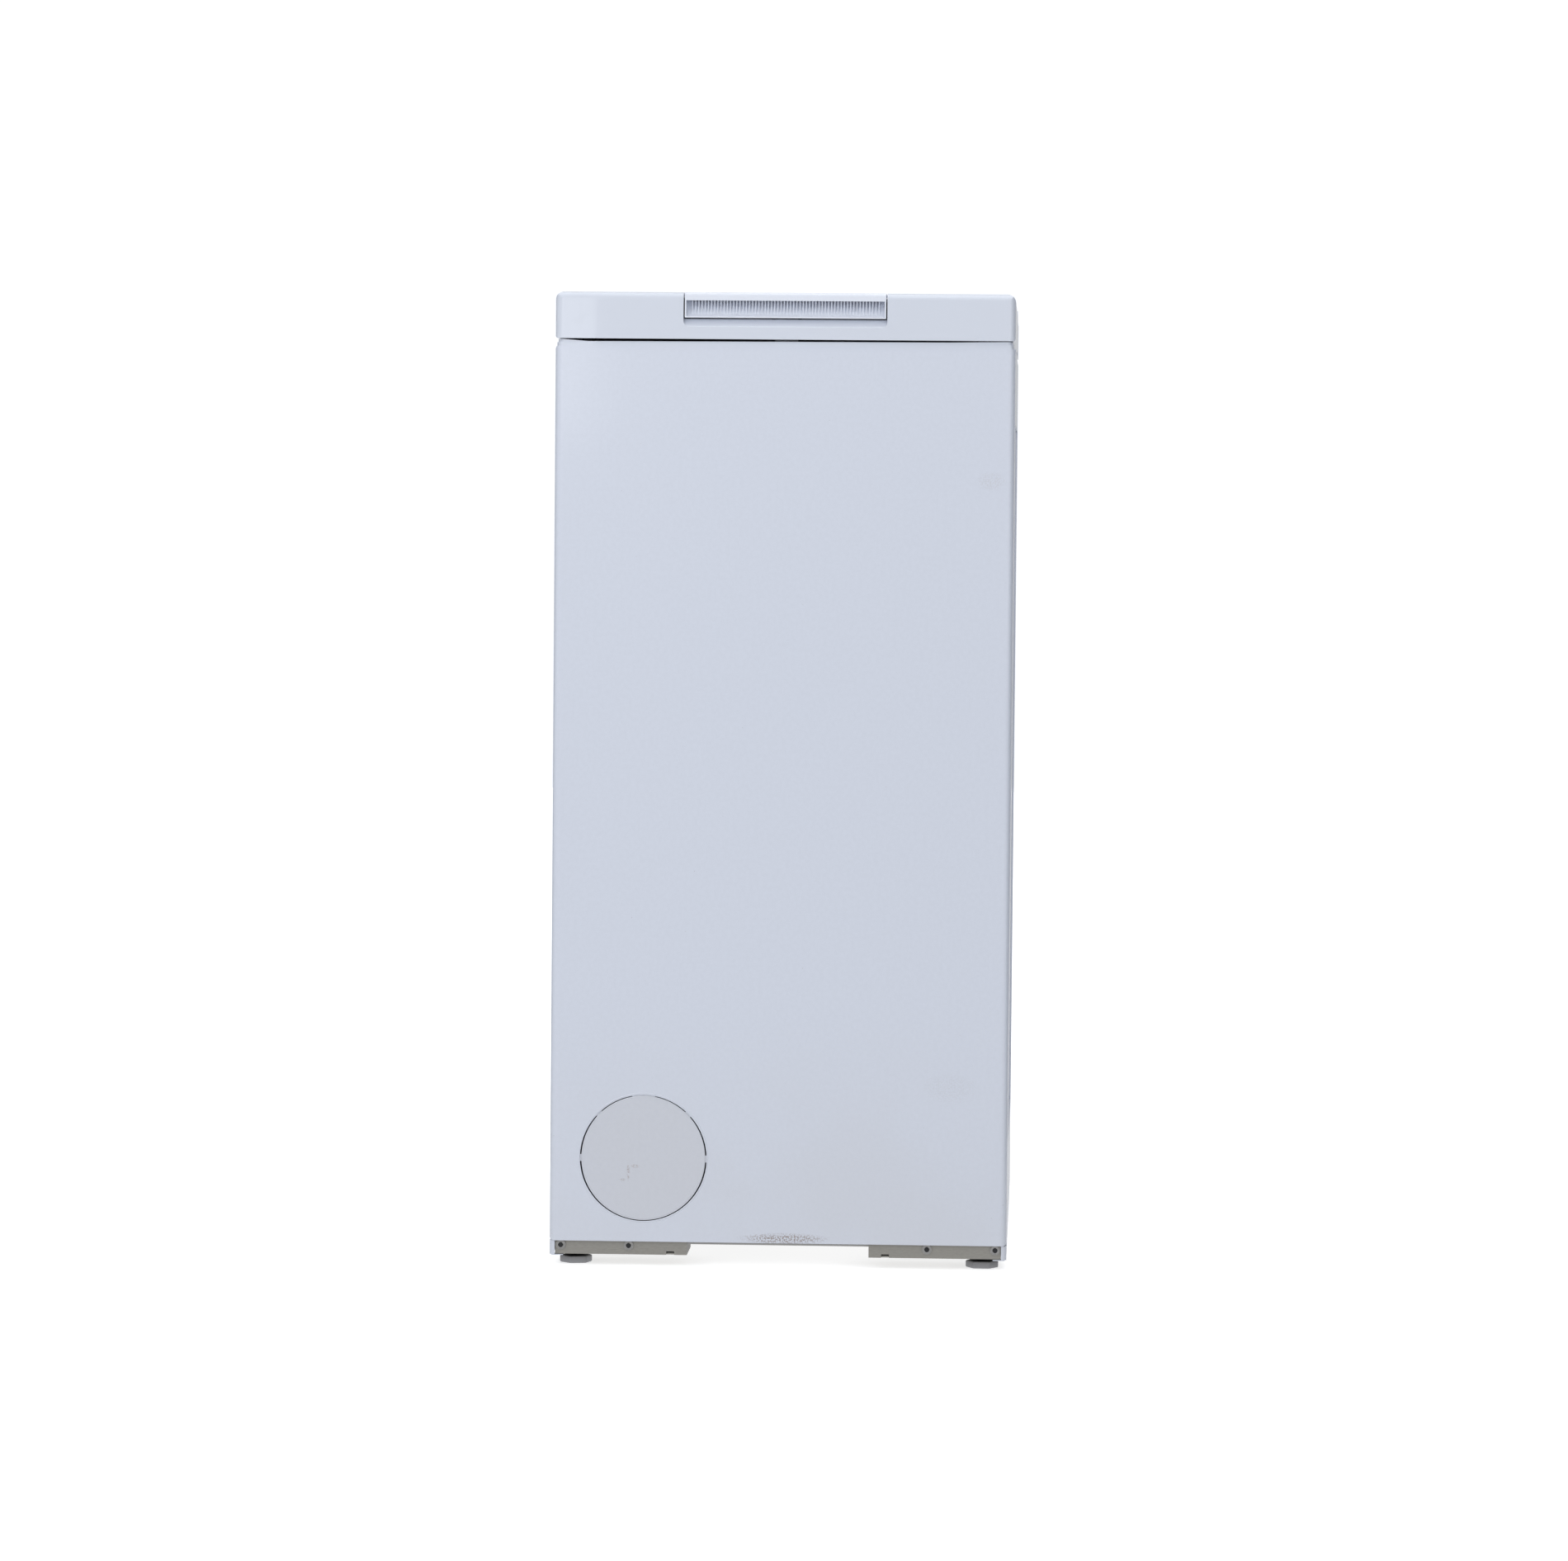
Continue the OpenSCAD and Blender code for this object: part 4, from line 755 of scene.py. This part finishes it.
def drum_details():
    """Real drain holes through the drum's sheet and its flaps, and pressed rings on the drum's ends."""
    # Half the hatch's width as an angle, and the angles of the three paddles
    hatch = math.asin(110 * MM / DRUM_R)
    bm = bmesh.new()
    rows, columns = 88, 12
    paddles = [math.radians(a) for a in (60, 180, 300)]
    for i in range(rows):
        angle = 2 * math.pi * (i + 0.5) / rows
        lean = min(angle, 2 * math.pi - angle)
        by_paddle = min(abs((angle + math.pi - p) % (2 * math.pi) - math.pi) for p in paddles)
        if by_paddle < math.radians(8.5):
            continue
        for k in range(columns):
            x = DRUM_LOW.x + (DRUM_HIGH.x - DRUM_LOW.x) * (k + 0.5 + 0.25 * (i % 2 * 2 - 1)) / columns
            if lean < hatch + math.radians(1.6) and -115 * MM < x < 95 * MM:
                continue
            if x < DRUM_LOW.x + 6 * MM or x > DRUM_HIGH.x - 6 * MM:
                continue
            hole_cutter(bm, x, angle, low=10 * MM, high=8 * MM, sides=8)
    for flat in (DRUM_LOW.x, DRUM_HIGH.x):
        for ring_r in (70 * MM, 110 * MM, 150 * MM, 190 * MM):
            count = int(2 * math.pi * ring_r / (30 * MM))
            for k in range(count):
                a = 2 * math.pi * k / count
                y, z = ring_r * math.cos(a), DRUM_AXIS_Z + ring_r * math.sin(a)
                loft(bm, [circle((flat + d, y, z), "x", HOLE_R, 0, 8) for d in (-6 * MM, 6 * MM)])
    carved("drum_perforated", "drum_shell", "drum", "stainless", bm, angle=30)
    low, high = corners("rear_flap")
    for node, sign in (("front_flap", -1), ("rear_flap", 1)):
        bm = bmesh.new()
        for row, degrees in enumerate((4.5, 8.2, 11.9, 15.6, 19.3, 23.0)):
            for k in range(13):
                x = low.x + 9 * MM + (high.x - low.x - 18 * MM) * (k + 0.25 * (row % 2)) / 12.5
                near_latch = abs(x + 10 * MM) < 24 * MM
                if near_latch and degrees < 13 and sign < 0:
                    continue
                hole_cutter(bm, x, sign * math.radians(degrees), low=6 * MM, high=8 * MM, sides=12)
        carved(node + "_perforated", node, node, "stainless", bm, angle=30)
    for side, flat in ((-1, DRUM_LOW.x), (1, DRUM_HIGH.x)):
        bm = bmesh.new()
        for ring_r in (90, 130, 170, 212):
            section = [(-5, 0.0), (-3, 0.5), (0, 0.9), (3, 0.5), (5, 0.0), (3, -0.2), (0, 0.2), (-3, -0.2)]
            profile = [((ring_r + r) * MM, side * h * MM) for r, h in section]
            lathe(bm, (flat, 0, DRUM_AXIS_Z), "x", profile, 96, hollow=True)
        piece("drum_end_rings_" + ("left" if side < 0 else "right"), bm, "drum", "stainless", angle=60)


def flap_details():
    """Pressed ribs on the flaps and finger grooves on the latch."""
    for node, sign in (("front_flap", -1), ("rear_flap", 1)):
        bm = bmesh.new()
        low, high = corners(node)
        for degrees in (6.4, 13.75, 21.1):
            a = math.radians(degrees) * sign
            r = DRUM_R + 0.1 * MM
            spans = ((low.x + 8 * MM, high.x - 8 * MM),)
            if degrees < 13 and sign < 0:
                spans = ((low.x + 8 * MM, -36 * MM), (16 * MM, high.x - 8 * MM))
            for x0, x1 in spans:
                path = [(x0 + (x1 - x0) * k / 10, r * math.sin(a), DRUM_AXIS_Z + r * math.cos(a))
                        for k in range(11)]
                radii = [(0.25 if k in (0, 10) else 0.75) * MM for k in range(11)]
                sweep(bm, path, radii, 10)
        piece(node + "_ribs", bm, node, "stainless", angle=60)
    bm = bmesh.new()
    low, high = corners("flap_latch")
    for k in range(6):
        y = low.y + (4 + 2.8 * k) * MM
        sweep(bm, [(low.x + 4 * MM, y, high.z), (high.x - 4 * MM, y, high.z)], 0.7 * MM, 10)
    piece("flap_latch_grips", bm, "flap_latch", "latch", angle=60)


# ---------------------------------------------------------------- console
def rounded_key(name, node, body):
    """A key with a soft edge, a slightly sunk top and a light guide."""
    low, high = corners(node)
    middle = (low + high) / 2
    width, depth = high.x - low.x - 4 * MM, high.y - low.y - 4 * MM
    bm = bmesh.new()
    flange = outline(middle.x, middle.y, width + 4 * MM, depth + 4 * MM, 2.6 * MM, 5)
    rings = [[(x, y, z) for x, y in flange] for z in (low.z, low.z + 1.5 * MM)]
    for inset, z in ((0, low.z + 1.7 * MM), (0, high.z - 1.2 * MM), (0.12, high.z - 0.6 * MM),
                     (0.45, high.z - 0.2 * MM), (1.0, high.z), (2.0, high.z - 0.05 * MM),
                     (4.0, high.z - 0.35 * MM)):
        ring = outline(middle.x, middle.y, width - 2 * inset * MM, depth - 2 * inset * MM,
                       max(2.6 - inset, 0.8) * MM, 5)
        rings.append([(x, y, z) for x, y in ring])
    loft(bm, rings)
    piece(name, bm, body, "key", None, (node,), 40)
    bm = bmesh.new()
    lathe(bm, (middle.x, high.y - 4.6 * MM, high.z - 0.3 * MM), "z",
          [(0.9 * MM, 0), (0.9 * MM, 0.35 * MM), (0.6 * MM, 0.55 * MM)], 20)
    piece(name + "_light", bm, body, "valve", "light")


def knob():
    """Fluted programme knob with a dished top, a grip bar and a pointer line."""
    low, high = corners("program_knob")
    low.z = FASCIA_Z + 0.5 * MM
    middle = (low + high) / 2
    base = (middle.x, middle.y, 0)
    full = (high.x - low.x) / 2
    bm = bmesh.new()

    def fluted(r, deep):
        return lambda a: r - deep * (0.5 - 0.5 * math.cos(36 * a)) ** 2

    # Radius, depth of the flutes and height of each ring
    steps = [
        (full, 0, low.z), (full, 0, low.z + 1.6 * MM), (full - 0.9 * MM, 0, low.z + 2.2 * MM),
        (full - 1.6 * MM, 0.9 * MM, low.z + 3.0 * MM), (full - 2.4 * MM, 0.9 * MM, high.z - 2.2 * MM),
        (full - 3.0 * MM, 0.5 * MM, high.z - 0.9 * MM), (full - 3.8 * MM, 0, high.z - 0.5 * MM),
        (full - 6.0 * MM, 0, high.z - 0.9 * MM), (full - 12 * MM, 0, high.z - 1.6 * MM),
        (2 * MM, 0, high.z - 1.8 * MM),
    ]
    loft(bm, [circle(base, "z", fluted(r, deep), z, 288) for r, deep, z in steps])
    piece("knob_fluted", bm, "program_knob", "knob", None, ("program_knob",), 40)
    bm = bmesh.new()
    rings = []
    for inset, z in ((0, high.z - 1.9 * MM), (0, high.z - 0.7 * MM), (0.6, high.z - 0.2 * MM),
                     (1.4, high.z)):
        ring = outline(middle.x, middle.y, (8.6 - 2 * inset) * MM, (35 - 2 * inset) * MM,
                       (4.2 - inset) * MM, 8)
        rings.append([(x, y, z) for x, y in ring])
    loft(bm, rings)
    piece("knob_grip", bm, "program_knob", "knob", angle=50)
    bm = bmesh.new()
    block(bm, (middle.x - 0.7 * MM, middle.y + 9 * MM, high.z - 0.4 * MM),
          (middle.x + 0.7 * MM, middle.y + 16 * MM, high.z + 0.12 * MM), 0.0001, 1)
    piece("knob_pointer", bm, "program_knob", "knob", "ink")


def console_marks():
    """Generic printed marks: a dial of ticks, a bar under each key and idle dashes in the display."""
    bm = bmesh.new()
    dial = centre("program_knob")
    for k in range(16):
        a = 2 * math.pi * k / 16
        long = k % 4 == 0
        ends = [Vector((dial.x + r * math.sin(a), dial.y + r * math.cos(a), 0))
                for r in (26 * MM, (31 if long else 29) * MM)]
        side = Vector((math.cos(a), -math.sin(a), 0)) * ((0.55 if long else 0.35) * MM)
        rings = [[ends[0] - side + Vector((0, 0, z)), ends[0] + side + Vector((0, 0, z)),
                  ends[1] + side + Vector((0, 0, z)), ends[1] - side + Vector((0, 0, z))]
                 for z in (FASCIA_Z - 0.05 * MM, FASCIA_Z + 0.08 * MM)]
        loft(bm, rings)
    for node in ("temperature_button", "spin_button", "option_button", "start_button"):
        key = centre(node)
        block(bm, (key.x - 5 * MM, key.y - 11 * MM, FASCIA_Z - 0.05 * MM),
              (key.x + 5 * MM, key.y - 10.1 * MM, FASCIA_Z + 0.08 * MM), 0.00003, 1)
    piece("console_marks", bm, "cabinet", "knob", "ink")
    bm = bmesh.new()
    low, high = corners("display_window")
    middle_y = centre("display_window").y
    for k in range(4):
        x = low.x + (20 + 16 * k) * MM
        block(bm, (x, middle_y - 0.8 * MM, high.z - 0.05 * MM),
              (x + 9 * MM, middle_y + 0.8 * MM, high.z + 0.06 * MM), 0.00003, 1)
    piece("display_dashes", bm, "cabinet", "window", "light")
    bm = bmesh.new()
    rings = []
    for grow, z in ((0.2, -0.1), (0.2, 0.45), (0.7, 0.7), (1.5, 0.6), (2.0, -0.1)):
        ring = outline((low.x + high.x) / 2, (low.y + high.y) / 2, high.x - low.x + 2 * grow * MM,
                       high.y - low.y + 2 * grow * MM, (1.0 + grow) * MM, 5)
        rings.append([(x, y, FASCIA_Z + z * MM) for x, y in ring])
    loop_loft(bm, rings)
    piece("display_bezel", bm, "cabinet", "inner_plastic", angle=50)


# ---------------------------------------------------------------- back and services
def rear_details():
    """Pressed beads and air louvres on the back sheet and on its cover."""
    sheet_y = corners("rear_panel")[1].y
    bm = bmesh.new()
    for x0, x1, z0, z1 in ((-180, -146, 230, 610), (146, 180, 230, 610), (-120, 120, 640, 672)):
        ring = outline((x0 + x1) / 2 * MM, (z0 + z1) / 2 * MM,
                       (x1 - x0) * MM, (z1 - z0) * MM, 12 * MM, 8)
        sweep(bm, [(x, sheet_y - 0.4 * MM, z) for x, z in ring], 2.0 * MM, 12, closed=True)
    piece("rear_beads", bm, "cabinet", "galvanised", angle=60)
    cover_low, cover_high = corners("rear_access_cover")
    bm = bmesh.new()
    middle = (cover_low + cover_high) / 2
    for grow in (-16, -44):
        ring = outline(middle.x, middle.z + 24 * MM, cover_high.x - cover_low.x + 2 * grow * MM,
                       cover_high.z - cover_low.z + (2 * grow - 90) * MM, 20 * MM, 10)
        sweep(bm, [(x, cover_high.y - 0.5 * MM, z) for x, z in ring], 1.8 * MM, 12, closed=True)
    piece("rear_cover_beads", bm, "cabinet", "galvanised", angle=60)
    bm = bmesh.new()
    for z0, z1, y in ((690, 740, sheet_y), (300, 345, cover_high.y)):
        for k in range(-4, 5):
            x = k * 22 * MM
            rings = []
            for t in range(9):
                z = (z0 + (z1 - z0) * t / 8) * MM
                out = 2.6 * MM * math.sin(math.pi * t / 8) ** 0.4 if 0 < t < 8 else 0.0
                rings.append([(x + 3 * MM, y - 0.3 * MM, z), (x + 3.6 * MM, y + 0.05 * MM, z),
                              (x + 1.5 * MM, y + 0.1 * MM + out, z),
                              (x - 3.0 * MM, y + 0.05 * MM + out * 1.1, z),
                              (x - 3.0 * MM, y - 0.1 * MM + out * 0.8, z),
                              (x + 1.2 * MM, y - 0.3 * MM + out * 0.8, z)])
            loft(bm, rings)
    piece("rear_louvres", bm, "cabinet", "galvanised", angle=60)


def inlet_thread():
    """A true thread cut in the water inlet."""
    bm = bmesh.new()
    pitch, reach = 1.814 * MM, 13.2 * MM
    x, z = 130 * MM, 120 * MM
    start, end = 273 * MM, corners("inlet_valve")[1].y + 1.5 * MM
    steps = 24
    turns = (end - start) / pitch
    path = [(x + (reach + 0.1 * MM) * math.cos(2 * math.pi * k / steps), start + pitch * k / steps,
             z + (reach + 0.1 * MM) * math.sin(2 * math.pi * k / steps)) for k in range(int(turns * steps))]
    sweep(bm, path, 0.72 * MM, 6)
    carved("inlet_valve_threaded", "inlet_valve", "cabinet", "valve", bm, angle=40)


def motor_details():
    """Cooling ribs round the motor and the bolts at its end."""
    axis_y, axis_z = 90 * MM, 110 * MM
    bm = bmesh.new()
    for k in range(9):
        x = (-8 + 9 * k) * MM
        profile = [(47.5, -1.6), (49.2, -1.4), (49.6, 0), (49.2, 1.4), (47.5, 1.6)]
        lathe(bm, (x, axis_y, axis_z), "x", [(r * MM, h * MM) for r, h in profile], 64, hollow=True)
    piece("motor_ribs", bm, "wash_unit", "motor", angle=50)
    bm = bmesh.new()
    for k in range(4):
        a = math.radians(45 + 90 * k)
        y, z = axis_y + 40 * MM * math.cos(a), axis_z + 40 * MM * math.sin(a)
        head = [(3.2 * MM, 1 * MM), (3.2 * MM, -3.2 * MM), (2.6 * MM, -3.8 * MM)]
        lathe(bm, (-40 * MM, y, z), "x", head, 6)
    piece("motor_bolts", bm, "wash_unit", "screw", angle=30)


def build_pieces():
    """Builds every piece that the CAD nodes don't already show."""
    handle_ribs()
    cap_details()
    feet()
    screws()
    springs()
    bellows()
    hose()
    drum_details()
    flap_details()
    knob()
    for node in ("temperature_button", "spin_button", "option_button", "start_button"):
        rounded_key(node.replace("_button", "_key"), node, node)
    console_marks()
    rear_details()
    inlet_thread()
    motor_details()


# ---------------------------------------------------------------- light, floor and camera
def camera():
    """Level with the upper half of the front, a touch right of centre, tipped slightly down."""
    data = bpy.data.cameras.new("camera")
    data.lens = 137.4  # mm
    data.sensor_width = 36.0  # mm
    data.dof.use_dof = False
    obj = bpy.data.objects.new("camera", data)
    bpy.context.scene.collection.objects.link(obj)
    place = (0.2229, -5.5, 0.6572)
    yaw, pitch, roll = 0.0424, -0.04427, 0.00863  # radians
    right = Vector((math.cos(yaw), math.sin(yaw), 0.0))
    level = Vector((-math.sin(yaw), math.cos(yaw), 0.0))
    ahead = level * math.cos(pitch) + Vector((0, 0, 1)) * math.sin(pitch)
    above = right.cross(ahead)
    tipped_right = right * math.cos(roll) + above * math.sin(roll)
    tipped_up = above * math.cos(roll) - right * math.sin(roll)
    turn = Matrix((tipped_right, tipped_up, -ahead)).transposed().to_4x4()
    obj.matrix_world = Matrix.Translation(place) @ turn
    bpy.context.scene.camera = obj


def area_light(name, place, aim, width, height, power):
    """A rectangular lamp at a place, turned to its aim; power in watts."""
    data = bpy.data.lights.new(name, "AREA")
    data.shape = "RECTANGLE"
    data.size = width
    data.size_y = height
    data.energy = power
    obj = bpy.data.objects.new(name, data)
    bpy.context.scene.collection.objects.link(obj)
    direction = Vector(aim) - Vector(place)
    turn = direction.to_track_quat("-Z", "Y").to_matrix().to_4x4()
    obj.matrix_world = Matrix.Translation(place) @ turn


def studio():
    """Pale floor in a white room, inside a lit tent that only the object sees, with three lamps."""
    scene = bpy.context.scene
    scene.view_settings.view_transform = "Standard"
    scene.view_settings.look = "None"
    world = bpy.data.worlds.new("studio")
    world.use_nodes = True
    world.node_tree.nodes["Background"].inputs["Color"].default_value = (0.945, 0.965, 1.0, 1.0)
    world.node_tree.nodes["Background"].inputs["Strength"].default_value = 1.08
    scene.world = world
    floor_mesh = bpy.data.meshes.new("studio_floor")
    reach = TENT - 0.2
    spots = [(-reach, -reach, 0), (reach, -reach, 0), (reach, reach, 0), (-reach, reach, 0)]
    floor_mesh.from_pydata(spots, [], [(0, 1, 2, 3)])
    floor = bpy.data.objects.new("studio_floor", floor_mesh)
    scene.collection.objects.link(floor)
    g = Graph("studio_floor")
    tone = g.mix(g.ramp(g.noise(0.8, 2.0), 0.3, 0.7), (0.93, 0.93, 0.93), (0.95, 0.95, 0.95))
    floor_mesh.materials.append(g.finish(tone, 0.9, Emission_Strength=0.60, Emission_Color=(1, 1, 1, 1)))
    floor.visible_diffuse = False
    floor.visible_glossy = False
    soft_card("tent_back", (0, TENT, TENT / 2), (0, -1, 0), 2 * TENT, TENT, 0.60)
    soft_card("tent_front", (0, -TENT, TENT / 2), (0, 1, 0), 2 * TENT, TENT, 0.77)
    soft_card("tent_left", (-TENT, 0, TENT / 2), (1, 0, 0), 2 * TENT, TENT, 0.70)
    soft_card("tent_right", (TENT, 0, TENT / 2), (-1, 0, 0), 2 * TENT, TENT, 0.54)
    flat_card("tent_floor", -0.02, 0.72)
    flat_card("tent_roof", TENT, 0.82)
    area_light("key", (-2.2, -3.6, 2.6), (0, -0.3, 0.45), 2.0, 2.0, 22)
    area_light("front_fill", (1.6, -4.5, 1.6), (0, 0, 0.45), 3.0, 2.4, 12.5)
    area_light("top", (0.3, -0.4, 3.4), (0, 0, 0.8), 2.6, 2.6, 18)
    soft_card("left_strip", (-0.614, -2.3, 1.15), (0, 1, 0), 0.60, 0.80, 2.6)
    soft_card("right_flag", (1.15, -0.2, 0.5), (-1, 0, 0), 1.3, 1.4, 0.0)
    soft_card("left_flag", (-1.15, 0.15, 0.5), (1, 0, 0), 0.7, 1.4, 0.0)


def card_object(name, mesh, glow):
    """A lit card round the set: reflections and the object's light see it, the camera doesn't."""
    obj = bpy.data.objects.new(name, mesh)
    bpy.context.scene.collection.objects.link(obj)
    g = Graph(name)
    mesh.materials.append(g.finish((0.02, 0.02, 0.02), 0.9, Emission_Strength=glow,
                                   Emission_Color=(0.94, 0.96, 1.0, 1)))
    obj.visible_camera = False


def soft_card(name, place, facing, width, height, glow):
    """An upright rectangular card that faces a direction."""
    mesh = bpy.data.meshes.new(name)
    side = Vector(facing).cross(Vector((0, 0, 1))) * (width / 2)
    up = Vector((0, 0, height / 2))
    spots = [Vector(place) + a * side + b * up for a, b in ((-1, -1), (1, -1), (1, 1), (-1, 1))]
    mesh.from_pydata(spots, [], [(0, 1, 2, 3)])
    card_object(name, mesh, glow)


def flat_card(name, height, glow):
    """A level card as wide as the tent."""
    mesh = bpy.data.meshes.new(name)
    spots = [(x * TENT, y * TENT, height) for x, y in ((-1, -1), (1, -1), (1, 1), (-1, 1))]
    mesh.from_pydata(spots, [], [(0, 1, 2, 3)])
    card_object(name, mesh, glow)


def main():
    camera()
    dress_frame()
    build_pieces()
    studio()


main()
